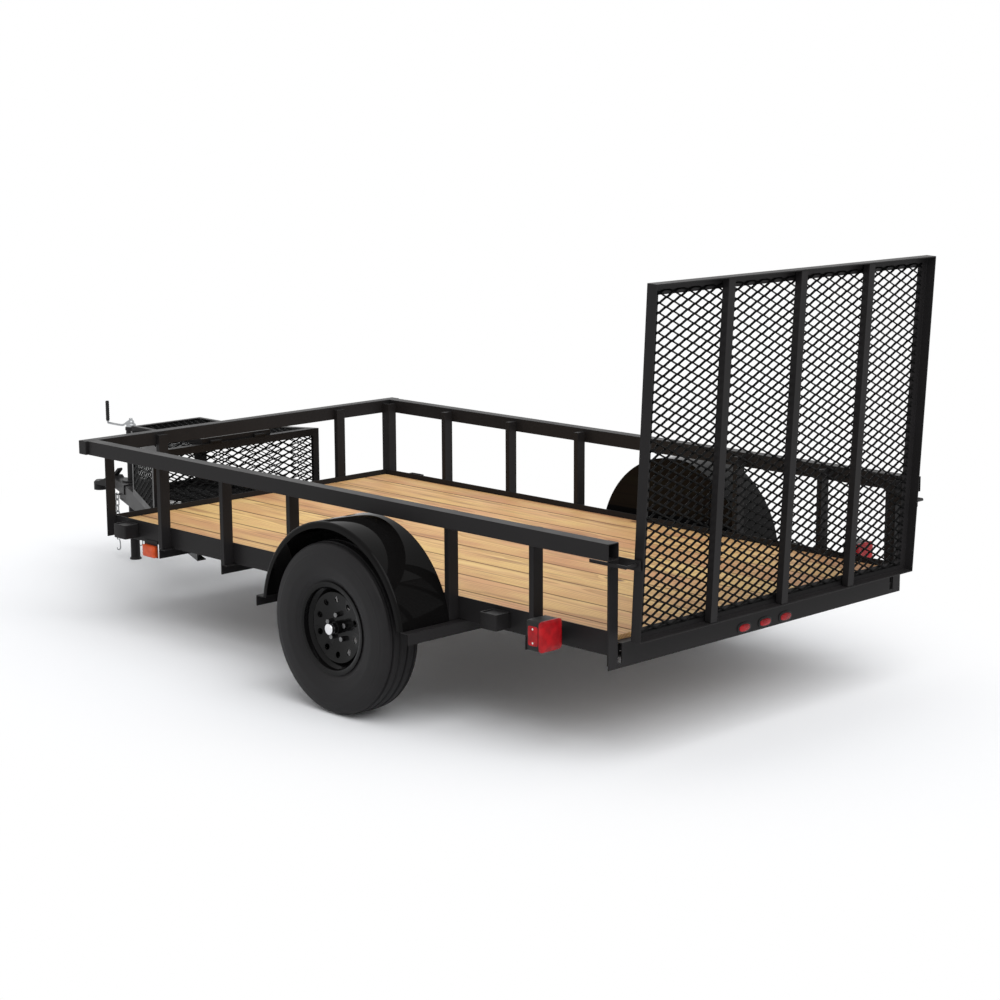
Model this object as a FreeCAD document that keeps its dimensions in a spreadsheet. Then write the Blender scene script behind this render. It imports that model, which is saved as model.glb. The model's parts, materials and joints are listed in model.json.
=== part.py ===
import FreeCAD, Part
import math
import os
import Sketcher

# Single-axle utility trailer with a rear ramp gate and a mesh tool basket on
# the tongue.  +X points to the coupler, +Y to the left, +Z up.  Lengthwise
# stations count from the rear ends of the top rails.  The part's origin lies
# on the ground under the middle of the whole trailer.

os.makedirs("parts", exist_ok=True)
doc = FreeCAD.newDocument("utility_trailer")
sheet = doc.addObject("Spreadsheet::Sheet", "Sizes")

SIZES = {
    # top rails
    "bed_length": 3652,
    "rail_half": 1050,
    "rail_width": 62,
    "rail_height": 70,
    "rail_wall": 4,
    "rail_top": 947,
    "front_rail_overhang": 14,
    # stakes between the frame and the top rails
    "post_depth": 56,
    "post_thick": 28,
    "post_wall": 3,
    "post_top_gap": 15,
    "corner_wall": 5,
    "post_station_a": 502,
    "post_station_b": 1012,
    "post_station_c": 2083,
    "post_station_d": 2590,
    "post_station_e": 3094,
    "front_post_offset": 603,
    # perimeter frame, an angle with its flat leg turned in under the deck
    "frame_bottom": 455,
    "frame_height": 102,
    "frame_flange": 76,
    "frame_wall": 6,
    "rear_setback": 54,
    # rear sill below the gate
    "sill_bottom": 411,
    "sill_height": 102,
    "sill_flange": 50,
    "sill_wall": 6,
    "sill_notch_width": 24,
    "sill_notch_height": 82,
    # deck
    "deck_top": 530,
    "plank_thick": 38,
    "plank_pitch": 219,
    "plank_gap": 5,
    "plank_end_gap": 3,
    "plank_rear": 110,
    "plank_front_gap": 6,
    "crossmember_first": 115,
    "crossmember_last": 3504,
    "crossmember_width": 32,
    "crossmember_wall": 5,
    # angles under the frame, for the tongue and for the fenders
    "under_leg": 50,
    "under_wall": 5,
    "fender_bar_rear": 940,
    "fender_bar_front": 1966,
    # tongue
    "tongue_angle": 22.5,
    "tongue_apex": 4917,
    "tongue_height": 100,
    "tongue_width": 50,
    "tongue_wall": 5,
    # coupler
    "coupler_rear": 4640,
    "coupler_neck": 4850,
    "coupler_half": 38,
    "coupler_wall": 6,
    "coupler_skirt": 56,
    "coupler_ball_station": 5054,
    "coupler_lip": 370,
    "coupler_dome_top": 427,
    "coupler_slope_station": 4930,
    "coupler_slope_end": 5020,
    "coupler_housing_height": 14,
    "coupler_housing_rear": 4862,
    "socket_radius": 25.9,
    "socket_depth": 23,
    "latch_tip_station": 4842,
    "latch_tip_height": 522,
    "latch_wall": 12,
    "latch_width": 30,
    # jack
    "jack_station": 4720,
    "jack_radius": 30,
    "jack_wall": 2.7,
    "jack_fit": 0.1,
    "jack_bottom": 280,
    "jack_cap_radius": 33.5,
    "jack_cap_height": 19,
    "jack_top": 779,
    "jack_leg_wall": 4,
    "jack_leg_top": 470,
    "jack_foot_radius": 34,
    "jack_foot_height": 14,
    "jack_flange_radius": 62,
    "jack_flange_thick": 8,
    "jack_hole_gap": 1,
    "crank_boss_radius": 11,
    "crank_boss_height": 50,
    "crank_bar": 14,
    "crank_rise": 5,
    "crank_drop_station": 4803,
    "crank_reach_station": 4952,
    "crank_grip_radius": 11.5,
    "crank_grip_length": 118,
    # wheels and axle
    "wheel_station": 1453,
    "tyre_radius": 386.6,
    "tyre_width": 205,
    "tyre_offset": 1172,
    "rim_flange_radius": 208,
    "rim_bead_radius": 190,
    "rim_well_radius": 164,
    "rim_half_width": 80,
    "rim_bead_width": 26,
    "rim_well_half": 30,
    "rim_wall": 4,
    "rim_lip": 6,
    "disc_ring_radius": 158,
    "disc_ring_station": 1226,
    "disc_face_station": 1214,
    "disc_dish_radius": 96,
    "disc_wall": 5,
    "window_radius": 14,
    "window_circle": 124,
    "hub_flange_radius": 72,
    "hub_flange_thick": 10,
    "hub_radius": 36,
    "hub_back_station": 1124,
    "hub_nose_radius": 28,
    "hub_nose_station": 1236,
    "hub_bore_gap": 1,
    "cap_radius": 24,
    "cap_station": 1270,
    "cap_wall": 3,
    "cap_edge": 5,
    "bearing_fit": 0.05,
    "spindle_radius": 17.5,
    "spindle_station": 1228,
    "axle_radius": 30,
    "axle_end_station": 1112,
    "nut_circle": 57.15,
    "nut_radius": 12,
    "nut_height": 18,
    # leaf springs
    "spring_offset": 894,
    "leaf_width": 45,
    "leaf_thick": 7,
    "leaf_tuck": 0.5,
    "spring_reach": 330,
    "spring_eye_radius": 15,
    "spring_eye_height": 396,
    "spring_pin_radius": 7,
    "spring_fit": 0.1,
    "hanger_wall": 6,
    "hanger_gap": 1,
    "hanger_half": 30,
    "shackle_back": 40,
    "shackle_rise": 30,
    "seat_thick": 12,
    "seat_half": 50,
    "clamp_rod": 11,
    "clamp_plate": 9,
    # fenders
    "fender_radius": 475,
    "fender_outer": 1265,
    "fender_wall": 3,
    "fender_lip": 22,
    # ramp gate, sizes taken along and across the leaning leaf
    "gate_half": 925,
    "gate_height": 1436,
    "gate_lean": 2.92,
    "gate_setback": 57,
    "gate_bottom": 531,
    "gate_depth": 50,
    "gate_wall": 5,
    "gate_stile": 64,
    "gate_rail": 50,
    "divider_spacing": 465,
    "divider_width": 42,
    "divider_rear": 5,
    "divider_front": 38,
    "divider_wall": 4,
    "mesh_long_way": 110,
    "mesh_short_way": 56,
    "mesh_strand": 7,
    "mesh_layer": 3.4,
    "mesh_layer_gap": 0.2,
    "mesh_tuck": 22,
    "hinge_spacing": 700,
    "hinge_reach": 20,
    "hinge_rise": 7,
    "hinge_barrel_radius": 13,
    "hinge_barrel_length": 80,
    "hinge_pin_radius": 8,
    "hinge_pin_fit": 0.08,
    "hinge_lug_radius": 14,
    "hinge_lug_thick": 8,
    "hinge_lug_foot": 40,
    "hinge_side_gap": 0.5,
    "hinge_relief_angle": 54,
    "gate_latch_bottom": 831,
    "gate_latch_height": 43,
    "gate_latch_reach": 65,
    "gate_latch_wall": 6,
    "gate_latch_pin_radius": 7,
    "gate_latch_pin_station": 45,
    "gate_latch_pin_out": 1000,
    "gate_latch_handle": 150,
    "gate_latch_clearance": 5,
    # tongue basket
    "basket_rear": 3715,
    "basket_length": 670,
    "basket_rear_half": 567,
    "basket_angle": 26.36,
    "basket_top": 818,
    "basket_leg": 40,
    "basket_wall": 4,
    "basket_mesh_long": 76,
    "basket_mesh_short": 38,
    "basket_strand": 4,
    "basket_layer": 2,
    "lid_half": 235,
    "lid_rear_gap": 16,
    "lid_front_gap": 10,
    "lid_rest": 0.3,
    "lid_leg": 28,
    "lid_wall": 4,
    "lid_hinge_radius": 8,
    "lid_hinge_length": 60,
    "lid_hinge_spacing": 150,
    "lid_pin_radius": 4,
    "lid_ear": 6,
    # lamps
    "lamp_rear_station": 300,
    "lamp_depth": 90,
    "lamp_inner": 1000,
    "lamp_width": 118,
    "lamp_bottom": 462,
    "lamp_height": 128,
    "lamp_lens": 14,
    "lamp_side_lens": 5,
    "lamp_side_margin": 8,
    "lamp_bracket_wall": 5,
    "lamp_bracket_height": 60,
    "lamp_bracket_foot": 50,
    "id_lamp_spacing": 140,
    "id_lamp_length": 88,
    "id_lamp_height": 44,
    "id_lamp_depth": 12,
    "id_lamp_middle": 440,
    "marker_station": 3180,
    "marker_length": 110,
    "marker_bottom": 385,
    "marker_height": 62,
    "marker_depth": 22,
    "marker_plate": 4,
    "marker_plate_height": 85,
    # safety chains
    "chain_station": 4772,
    "chain_height": 385,
    "chain_offset": 78,
    "chain_bolt_radius": 5,
    "chain_bolt_head": 10,
    "chain_wire": 7,
    "chain_inner_length": 35,
    "chain_inner_width": 13,
    "chain_fit": 0.3,
    "hook_length": 74,
    "hook_radius": 15,
    "overrun": 20,
}


def text_of(value):
    """Number as the plain text that a sheet cell or a formula takes."""
    return repr(round(value, 9)) if isinstance(value, float) else str(value)


for row, (alias, value) in enumerate(SIZES.items(), start=1):
    sheet.set("A%d" % row, alias)
    sheet.set("B%d" % row, text_of(value))
    sheet.setAlias("B%d" % row, alias)
doc.recompute()


class Size:
    """A length or angle together with the sheet formula that drives it."""

    def __init__(self, value, text):
        self.value = float(value)
        self.text = text

    def __add__(self, other):
        other = as_size(other)
        return Size(self.value + other.value, "(%s + %s)" % (self.text, other.text))

    def __sub__(self, other):
        other = as_size(other)
        return Size(self.value - other.value, "(%s - %s)" % (self.text, other.text))

    def __mul__(self, other):
        other = as_size(other)
        return Size(self.value * other.value, "(%s * %s)" % (self.text, other.text))

    def __truediv__(self, other):
        other = as_size(other)
        return Size(self.value / other.value, "(%s / %s)" % (self.text, other.text))

    def __neg__(self):
        return self if self.text == "0" else Size(-self.value, "(-1 * %s)" % self.text)

    __rmul__ = __mul__


def as_size(value):
    """Zero, a count or a share as a Size."""
    if isinstance(value, Size):
        return value
    return Size(value, text_of(value))


def sin(angle):
    return Size(math.sin(math.radians(angle.value)), "sin(%s * 1 deg)" % angle.text)


def cos(angle):
    return Size(math.cos(math.radians(angle.value)), "cos(%s * 1 deg)" % angle.text)


def tan(angle):
    return Size(math.tan(math.radians(angle.value)), "tan(%s * 1 deg)" % angle.text)


def root(ratio):
    return Size(math.sqrt(ratio.value), "sqrt(%s)" % ratio.text)


class Sheet:
    """The sheet's sizes as attributes."""

    def __getattr__(self, alias):
        return Size(sheet.get(alias), "Sizes." + alias)


z = Sheet()
NONE = as_size(0)
LEFT = 1
RIGHT = -1
SIDES = (("left", LEFT), ("right", RIGHT))
UPRIGHT = (0, 0, 1)
RAMP_AXIS = (0, -1, 0)

# Places that follow from the driving sizes
post_outer = z.rail_half - z.rail_width
frame_half = post_outer - z.post_depth
side_rail_end = z.bed_length - z.rail_width
frame_front = side_rail_end - z.post_thick
rail_bottom = z.rail_top - z.rail_height
post_top = z.rail_top - z.post_top_gap
frame_top = z.frame_bottom + z.frame_height
frame_floor = z.frame_bottom + z.frame_wall
frame_inner = frame_half - z.frame_wall
sill_front = z.rear_setback + z.sill_wall
sill_top = z.sill_bottom + z.sill_height
under_bottom = z.frame_bottom - z.under_leg
coupler_tip = z.coupler_ball_station + z.coupler_half
gate_reach = z.gate_setback + z.gate_height * sin(z.gate_lean)
middle = (coupler_tip - gate_reach) / 2

pieces = []


def keep(piece, label):
    """Name a finished sub-part; its name is also its file's name."""
    piece.Label = label
    pieces.append(piece)


def place(piece, x=NONE, y=NONE, height=NONE, axis=UPRIGHT, angle=NONE):
    """Seat an object in the trailer at a station along it."""
    x = x - middle
    turn = FreeCAD.Rotation(FreeCAD.Vector(*axis), angle.value)
    piece.Placement = FreeCAD.Placement(FreeCAD.Vector(x.value, y.value, height.value), turn)
    piece.setExpression("Placement.Base.x", x.text)
    piece.setExpression("Placement.Base.y", y.text)
    piece.setExpression("Placement.Base.z", height.text)
    if angle is not NONE:
        piece.setExpression("Placement.Rotation.Angle", angle.text)
    return piece


def new_body(name, **seat):
    body = doc.addObject("PartDesign::Body", name)
    body.AllowCompound = True
    return place(body, **seat)


def origin_feature(body, role):
    return [one for one in body.Origin.OriginFeatures if one.Role == role][0]


def sketch(body, plane, rings, offset):
    """Closed outlines on one of the body's own planes, every point driven.

    A ring is a circle (across, up, radius) or a list of corners.  A corner
    (across, up) starts a straight edge; (across, up, centre across, centre
    up, turn) starts an arc about the centre, to the left or to the right.
    """
    drawing = body.newObject("Sketcher::SketchObject", "Outline")
    drawing.AttachmentSupport = (origin_feature(body, plane + "_Plane"), "")
    drawing.MapMode = "FlatFace"
    drawing.setExpression("AttachmentOffset.Base.z", offset.text)
    rules = []
    formulas = []

    def pin(geometry, point, across, up):
        for kind, axis, size in (("DistanceX", -2, across), ("DistanceY", -1, up)):
            if size is None:
                continue
            if size.text == "0":
                rules.append(Sketcher.Constraint("PointOnObject", geometry, point, axis))
                continue
            formulas.append((len(rules), size.text))
            rules.append(Sketcher.Constraint(kind, -1, 1, geometry, point, size.value))

    for ring in rings:
        start = drawing.GeometryCount
        if isinstance(ring, tuple):
            across, up, radius = [as_size(one) for one in ring]
            centre = FreeCAD.Vector(across.value, up.value, 0)
            drawing.addGeometry(Part.Circle(centre, FreeCAD.Vector(*UPRIGHT), radius.value), False)
            pin(start, 3, across, up)
            formulas.append((len(rules), radius.text))
            rules.append(Sketcher.Constraint("Radius", start, radius.value))
            continue
        ring = [[as_size(one) for one in corner] for corner in ring]
        ends = []
        for i, corner in enumerate(ring):
            here = FreeCAD.Vector(corner[0].value, corner[1].value, 0)
            after = ring[(i + 1) % len(ring)]
            there = FreeCAD.Vector(after[0].value, after[1].value, 0)
            if len(corner) == 2:
                drawing.addGeometry(Part.LineSegment(here, there), False)
                ends.append((1, 2))
                continue
            centre = FreeCAD.Vector(corner[2].value, corner[3].value, 0)
            left_turn = corner[4].value > 0
            first, last = (here, there) if left_turn else (there, here)
            circle = Part.Circle(centre, FreeCAD.Vector(*UPRIGHT), (here - centre).Length)
            angles = [math.atan2(one.y - centre.y, one.x - centre.x) for one in (first, last)]
            drawing.addGeometry(Part.ArcOfCircle(circle, angles[0], angles[1]), False)
            ends.append((1, 2) if left_turn else (2, 1))
            pin(start + i, 3, corner[2], corner[3])
        for i, corner in enumerate(ring):
            before = ring[i - 1]
            last = start + (i - 1) % len(ring)
            rules.append(Sketcher.Constraint("Coincident", last, ends[i - 1][1], start + i, ends[i][0]))
            across = corner[0]
            up = corner[1]
            if len(before) == 5:
                flat = abs(up.value - before[3].value) < abs(across.value - before[2].value)
                across = None if flat else across
                up = up if flat else None
            pin(start + i, ends[i][0], across, up)
    drawing.addConstraint(rules)
    for index, formula in formulas:
        drawing.setExpression("Constraints[%d]" % index, formula)
    return drawing


def across_plane(body, kind, plane, rings, start, end):
    """Feature between two distances along the axis across the plane."""
    feature_sketch = sketch(body, plane, rings, -end if plane == "XZ" else start)
    length = end - start
    feature = body.newObject("PartDesign::" + kind, kind)
    feature.Profile = feature_sketch
    feature.Reversed = kind == "Pocket"
    feature.setExpression("Length", length.text)
    return feature


def pad(body, plane, rings, start, end):
    return across_plane(body, "Pad", plane, rings, start, end)


def pocket(body, plane, rings, start, end):
    return across_plane(body, "Pocket", plane, rings, start, end)


def revolve(body, plane, rings, axis, angle=None, kind="Revolution"):
    """Turn outlines about one of the body's own axes, evenly to both sides."""
    drawing = sketch(body, plane, rings, NONE)
    feature = body.newObject("PartDesign::" + kind, kind)
    feature.Profile = drawing
    feature.ReferenceAxis = (origin_feature(body, axis), [""])
    feature.Midplane = angle is not None
    if angle is not None:
        feature.setExpression("Angle", angle.text)
    return feature


def linear(body, feature, axis, length, count):
    """Copies of a feature evenly spread over a length."""
    pattern = body.newObject("PartDesign::LinearPattern", "Row")
    pattern.Originals = [feature]
    pattern.Direction = (origin_feature(body, axis), [""])
    pattern.Occurrences = count
    pattern.setExpression("Length", length.text)
    body.Tip = pattern


def polar(body, feature, axis, count):
    """Copies of a feature all round an axis."""
    pattern = body.newObject("PartDesign::PolarPattern", "Circle")
    pattern.Originals = [feature]
    pattern.Axis = (origin_feature(body, axis), [""])
    pattern.Occurrences = count
    body.Tip = pattern


def compound(label, members):
    """Sub-part of several solids that one carrier holds apart."""
    group = doc.addObject("Part::Compound", label)
    group.Links = members
    keep(group, label)


def box(left, low, right, high):
    """Rectangle outline from two opposite corners."""
    return [(left, low), (right, low), (right, high), (left, high)]


def tube(left, low, right, high, wall):
    """Outer and inner outline of a rectangular tube."""
    return [box(left, low, right, high), box(left + wall, low + wall, right - wall, high - wall)]


def clipped(ring, cut):
    """Outline with each corner cut off at a distance along both its edges."""
    result = []
    for i, (across, up) in enumerate(ring):
        for end in (ring[i - 1], ring[(i + 1) % len(ring)]):
            run = end[0] - across
            rise = end[1] - up
            share = cut / root(run * run + rise * rise)
            result.append((across + run * share, up + rise * share))
    return result


def mirrored(ring, side, turned):
    """Outline with one of its two directions turned over on the right side."""
    if side == LEFT:
        return ring
    result = []
    for corner in ring:
        corner = [as_size(one) for one in corner]
        corner[turned] = -corner[turned]
        if len(corner) == 5:
            corner[turned + 2] = -corner[turned + 2]
            corner[4] = -corner[4]
        result.append(tuple(corner))
    return result


def sided(ring, side):
    """Outline in X and Y put on the left or right side."""
    return mirrored(ring, side, 1)


def flipped(ring, side):
    """Outline in Y and Z put on the left or right side."""
    return mirrored(ring, side, 0)


def span(side, near, far):
    """Start and end along Y of a stretch that lies on one side."""
    return (near, far) if side == LEFT else (-far, -near)


# Top rails: open-ended side tubes and a capped front tube
for name, side in SIDES:
    body = new_body("top_rail_" + name)
    rings = tube(post_outer, rail_bottom, z.rail_half, z.rail_top, z.rail_wall)
    pad(body, "YZ", [flipped(ring, side) for ring in rings], NONE, side_rail_end)
    keep(body, "top_rail_" + name)

body = new_body("top_rail_front")
front_rail_half = z.rail_half + z.front_rail_overhang
rings = tube(side_rail_end, rail_bottom, z.bed_length, z.rail_top, z.rail_wall)
pad(body, "XZ", rings, -front_rail_half, front_rail_half)
for side in (LEFT, RIGHT):
    start, end = span(side, front_rail_half - z.rail_wall, front_rail_half)
    pad(body, "XZ", rings[:1], start, end)
keep(body, "top_rail_front")

# Stakes: capped tubes along the sides and front, angles at the corners
stations = [z.post_station_a, z.post_station_b, z.post_station_c, z.post_station_d, z.post_station_e]
for name, side in SIDES:
    body = new_body("rail_posts_" + name)
    rings = []
    caps = []
    for station in stations:
        pair = tube(station - z.post_thick, frame_half, station, post_outer, z.post_wall)
        rings.extend(sided(ring, side) for ring in pair)
        caps.append(sided(pair[0], side))
    pad(body, "XY", rings, z.frame_bottom, post_top)
    pad(body, "XY", caps, post_top - z.post_wall, post_top)
    for foot, heel, toe in (
        (z.sill_bottom, z.rear_setback, z.rear_setback + z.post_depth),
        (z.frame_bottom, side_rail_end - z.post_depth, side_rail_end),
    ):
        angle_iron = [
            (heel, frame_half),
            (toe, frame_half),
            (toe, frame_half + z.corner_wall),
            (heel + z.corner_wall, frame_half + z.corner_wall),
            (heel + z.corner_wall, post_outer),
            (heel, post_outer),
        ]
        pad(body, "XY", [sided(angle_iron, side)], foot, post_top)
    keep(body, "rail_posts_" + name)

body = new_body("rail_posts_front")
near = z.front_post_offset - z.post_depth / 2
far = z.front_post_offset + z.post_depth / 2
pair = tube(frame_front, near, side_rail_end, far, z.post_wall)
rings = [sided(ring, side) for ring in pair for side in (LEFT, RIGHT)]
pad(body, "XY", rings, z.frame_bottom, post_top)
pad(body, "XY", [sided(pair[0], LEFT), sided(pair[0], RIGHT)], post_top - z.post_wall, post_top)
keep(body, "rail_posts_front")

# Perimeter frame: mitred angle with its flat leg turned in, and the sill
flange_edge = frame_half - z.frame_flange
for name, side in SIDES:
    body = new_body("side_rail_" + name)
    flat = [
        (sill_front, flange_edge),
        (frame_front - z.frame_flange, flange_edge),
        (frame_front, frame_half),
        (sill_front, frame_half),
    ]
    pad(body, "XY", [sided(flat, side)], z.frame_bottom, frame_floor)
    wall = box(sill_front, frame_inner, frame_front, frame_half)
    pad(body, "XY", [sided(wall, side)], frame_floor, frame_top)
    keep(body, "side_rail_" + name)

body = new_body("front_frame_angle")
flat = [
    (frame_front, -frame_half),
    (frame_front, frame_half),
    (frame_front - z.frame_flange, flange_edge),
    (frame_front - z.frame_flange, -flange_edge),
]
pad(body, "XY", [flat], z.frame_bottom, frame_floor)
wall = box(frame_front - z.frame_wall, -frame_inner, frame_front, frame_inner)
pad(body, "XY", [wall], frame_floor, frame_top)
keep(body, "front_frame_angle")

body = new_body("rear_sill")
notch_floor = sill_top - z.sill_notch_height
notch_edge = frame_half - z.sill_notch_width
web = [
    (-frame_half, z.sill_bottom),
    (frame_half, z.sill_bottom),
    (frame_half, notch_floor),
    (notch_edge, notch_floor),
    (notch_edge, sill_top),
    (-notch_edge, sill_top),
    (-notch_edge, notch_floor),
    (-frame_half, notch_floor),
]
pad(body, "YZ", [web], z.rear_setback, sill_front)
top_leg = box(z.rear_setback, sill_top - z.sill_wall, z.rear_setback + z.sill_flange, sill_top)
pad(body, "XZ", [top_leg], -notch_edge, notch_edge)
keep(body, "rear_sill")

# Deck: planks on angle cross-members that stand on the frame's flat legs
body = new_body("deck_crossmembers")
plank_bottom = z.deck_top - z.plank_thick
bar_rear = z.crossmember_first
bar_front = bar_rear + z.crossmember_width
section = [
    (bar_rear, frame_floor),
    (bar_rear + z.crossmember_wall, frame_floor),
    (bar_rear + z.crossmember_wall, plank_bottom - z.crossmember_wall),
    (bar_front, plank_bottom - z.crossmember_wall),
    (bar_front, plank_bottom),
    (bar_rear, plank_bottom),
]
angle_bar = pad(body, "XZ", [section], -frame_inner, frame_inner)
linear(body, angle_bar, "X_Axis", z.crossmember_last - z.crossmember_first, 7)
keep(body, "deck_crossmembers")

body = new_body("deck_planks")
rings = []
for count in range(-3, 4):
    near = z.plank_pitch * count - (z.plank_pitch - z.plank_gap) / 2
    rings.append(box(near, plank_bottom, near + z.plank_pitch - z.plank_gap, z.deck_top))
for side in (LEFT, RIGHT):
    near = z.plank_pitch * 7 / 2 + z.plank_gap / 2
    edge = box(near, plank_bottom, frame_inner - z.plank_end_gap, z.deck_top)
    rings.append(flipped(edge, side))
pad(body, "YZ", rings, z.plank_rear, frame_front - z.frame_wall - z.plank_front_gap)
keep(body, "deck_planks")


def under_angle(body, back, toward, half):
    """Angle under the frame with its upright leg's back at a station."""
    wall = z.under_wall * toward
    leg = z.under_leg * toward
    section = [
        (back, under_bottom),
        (back + wall, under_bottom),
        (back + wall, z.frame_bottom - z.under_wall),
        (back + leg, z.frame_bottom - z.under_wall),
        (back + leg, z.frame_bottom),
        (back, z.frame_bottom),
    ]
    pad(body, "XZ", [section], -half, half)


body = new_body("tongue_crossmembers")
under_angle(body, z.post_station_e, RIGHT, post_outer)
under_angle(body, z.post_station_d, RIGHT, post_outer)
keep(body, "tongue_crossmembers")

body = new_body("fender_supports")
under_angle(body, z.fender_bar_rear, LEFT, z.fender_outer)
under_angle(body, z.fender_bar_front, RIGHT, z.fender_outer)
keep(body, "fender_supports")

# Tongue: two channels that meet ahead of the jack, backs outward
tongue_bottom = z.frame_bottom - z.tongue_height


def tongue_half(station, inset=NONE):
    """Half width of the tongue at a station, some way inside its faces."""
    return (z.tongue_apex - station) * tan(z.tongue_angle) - inset / cos(z.tongue_angle)


tongue_front = z.tongue_apex - z.tongue_width / sin(z.tongue_angle)
for name, side in SIDES:
    body = new_body("tongue_leg_" + name)
    rear = z.post_station_e
    solid_leg = [
        (rear, tongue_half(rear)),
        (rear, tongue_half(rear, z.tongue_width)),
        (tongue_front, NONE),
        (tongue_front, tongue_half(tongue_front)),
    ]
    pad(body, "XY", [sided(solid_leg, side)], tongue_bottom, z.frame_bottom)
    rear_out = rear - z.overrun
    front_out = tongue_front + z.overrun
    channel = [
        (rear_out, tongue_half(rear_out, z.tongue_wall)),
        (rear_out, NONE),
        (front_out, NONE),
        (front_out, tongue_half(front_out, z.tongue_wall)),
    ]
    inside_low = tongue_bottom + z.tongue_wall
    inside_high = z.frame_bottom - z.tongue_wall
    pocket(body, "XY", [sided(channel, side)], inside_low, inside_high)
    hole = (z.jack_station, NONE, z.jack_radius + z.jack_hole_gap)
    pocket(body, "XY", [hole], tongue_bottom, z.frame_bottom)
    keep(body, "tongue_leg_" + name)

# Coupler: folded hood over the tongue's nose, with a ball socket
ball = z.coupler_ball_station
skin = z.coupler_wall
hood_top = z.frame_bottom + skin
skirt_bottom = hood_top - z.coupler_skirt
body = new_body("coupler", x=ball)
rear = z.coupler_rear - ball
neck = z.coupler_neck - ball
rear_half = tongue_half(z.coupler_rear, -skin)
half = z.coupler_half
hood = [
    (rear, -rear_half),
    (neck, -half),
    (NONE, -half),
    (NONE, half),
    (neck, half),
    (rear, rear_half),
]
pad(body, "XY", [hood], skirt_bottom, hood_top)
slope_station = z.coupler_slope_station - ball
slope_end = z.coupler_slope_end - ball
housing_rear = z.coupler_housing_rear - ball
housing_top = hood_top + z.coupler_housing_height
housing = [
    (housing_rear, hood_top),
    (slope_station, hood_top),
    (slope_station, housing_top),
    (housing_rear + z.coupler_housing_height, housing_top),
]
pad(body, "XZ", [housing], -half, half)
falling = [
    (slope_station, hood_top),
    (slope_end, z.coupler_dome_top),
    (z.overrun, z.coupler_dome_top),
    (z.overrun, hood_top + z.overrun),
    (slope_station, hood_top + z.overrun),
]
pocket(body, "XZ", [falling], -half - z.overrun, half + z.overrun)
rear_out = z.coupler_rear - z.overrun
hollow = [
    (rear_out - ball, -tongue_half(rear_out)),
    (tongue_front - ball, -tongue_half(tongue_front)),
    (neck, skin - half),
    (slope_station, skin - half),
    (slope_station, half - skin),
    (neck, half - skin),
    (tongue_front - ball, tongue_half(tongue_front)),
    (rear_out - ball, tongue_half(rear_out)),
]
pocket(body, "XY", [hollow], skirt_bottom - z.overrun, z.frame_bottom)
throat = -z.socket_radius - skin
under_slope = [
    (slope_station - skin, z.frame_bottom),
    (slope_end, z.coupler_dome_top - skin),
    (throat, z.coupler_dome_top - skin),
    (throat, skirt_bottom - z.overrun),
    (slope_station - skin, skirt_bottom - z.overrun),
]
pocket(body, "XZ", [under_slope], skin - half, half - skin)
shoulder = skin * 2
cup = [
    (NONE, z.coupler_lip),
    (half, z.coupler_lip),
    (half, z.coupler_dome_top - shoulder),
    (half - shoulder, z.coupler_dome_top),
    (NONE, z.coupler_dome_top),
]
revolve(body, "XZ", [cup], "Z_Axis")
crown_centre = z.coupler_lip + z.socket_depth
socket = [
    (NONE, z.coupler_lip - z.overrun),
    (z.socket_radius, z.coupler_lip - z.overrun),
    (z.socket_radius, crown_centre, NONE, crown_centre, LEFT),
    (NONE, crown_centre + z.socket_radius),
]
revolve(body, "XZ", [socket], "Z_Axis", kind="Groove")
jack_hole = (z.jack_station - ball, NONE, z.jack_radius + z.jack_hole_gap)
pocket(body, "XY", [jack_hole], z.frame_bottom, hood_top)
keep(body, "coupler")

body = new_body("coupler_latch")
pivot = z.coupler_slope_station - z.latch_wall
lever = [
    (z.latch_tip_station, z.latch_tip_height - z.latch_wall),
    (pivot - z.latch_wall * 3, housing_top),
    (pivot, housing_top),
    (pivot, housing_top + z.latch_wall),
    (pivot - z.latch_wall * 2, housing_top + z.latch_wall),
    (z.latch_tip_station + z.latch_wall, z.latch_tip_height),
    (z.latch_tip_station, z.latch_tip_height),
]
pad(body, "XZ", [lever], -z.latch_width / 2, z.latch_width / 2)
keep(body, "coupler_latch")

# Jack: flanged tube with a sliding inner leg and a side crank
body = new_body("jack_tube", x=z.jack_station)
cap_bottom = z.jack_top - z.jack_cap_height
jack_bore = z.jack_radius - z.jack_wall
shell = [
    (jack_bore, z.jack_bottom),
    (z.jack_radius, z.jack_bottom),
    (z.jack_radius, hood_top),
    (z.jack_flange_radius, hood_top),
    (z.jack_flange_radius, hood_top + z.jack_flange_thick),
    (z.jack_radius, hood_top + z.jack_flange_thick),
    (z.jack_radius, cap_bottom),
    (z.jack_cap_radius, cap_bottom),
    (z.jack_cap_radius, z.jack_top - z.jack_wall),
    (z.jack_cap_radius - z.jack_wall, z.jack_top),
    (NONE, z.jack_top),
    (NONE, z.jack_top - z.jack_wall),
    (jack_bore, z.jack_top - z.jack_wall),
]
revolve(body, "XZ", [shell], "Z_Axis")
keep(body, "jack_tube")

body = new_body("jack_leg", x=z.jack_station)
leg_outer = jack_bore - z.jack_fit
leg_inner = leg_outer - z.jack_leg_wall
stem = [
    (NONE, NONE),
    (z.jack_foot_radius, NONE),
    (z.jack_foot_radius, z.jack_foot_height / 2),
    (leg_outer, z.jack_foot_height),
    (leg_outer, z.jack_leg_top),
    (leg_inner, z.jack_leg_top),
    (leg_inner, z.jack_foot_height),
    (NONE, z.jack_foot_height),
]
revolve(body, "XZ", [stem], "Z_Axis")
keep(body, "jack_leg")

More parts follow.
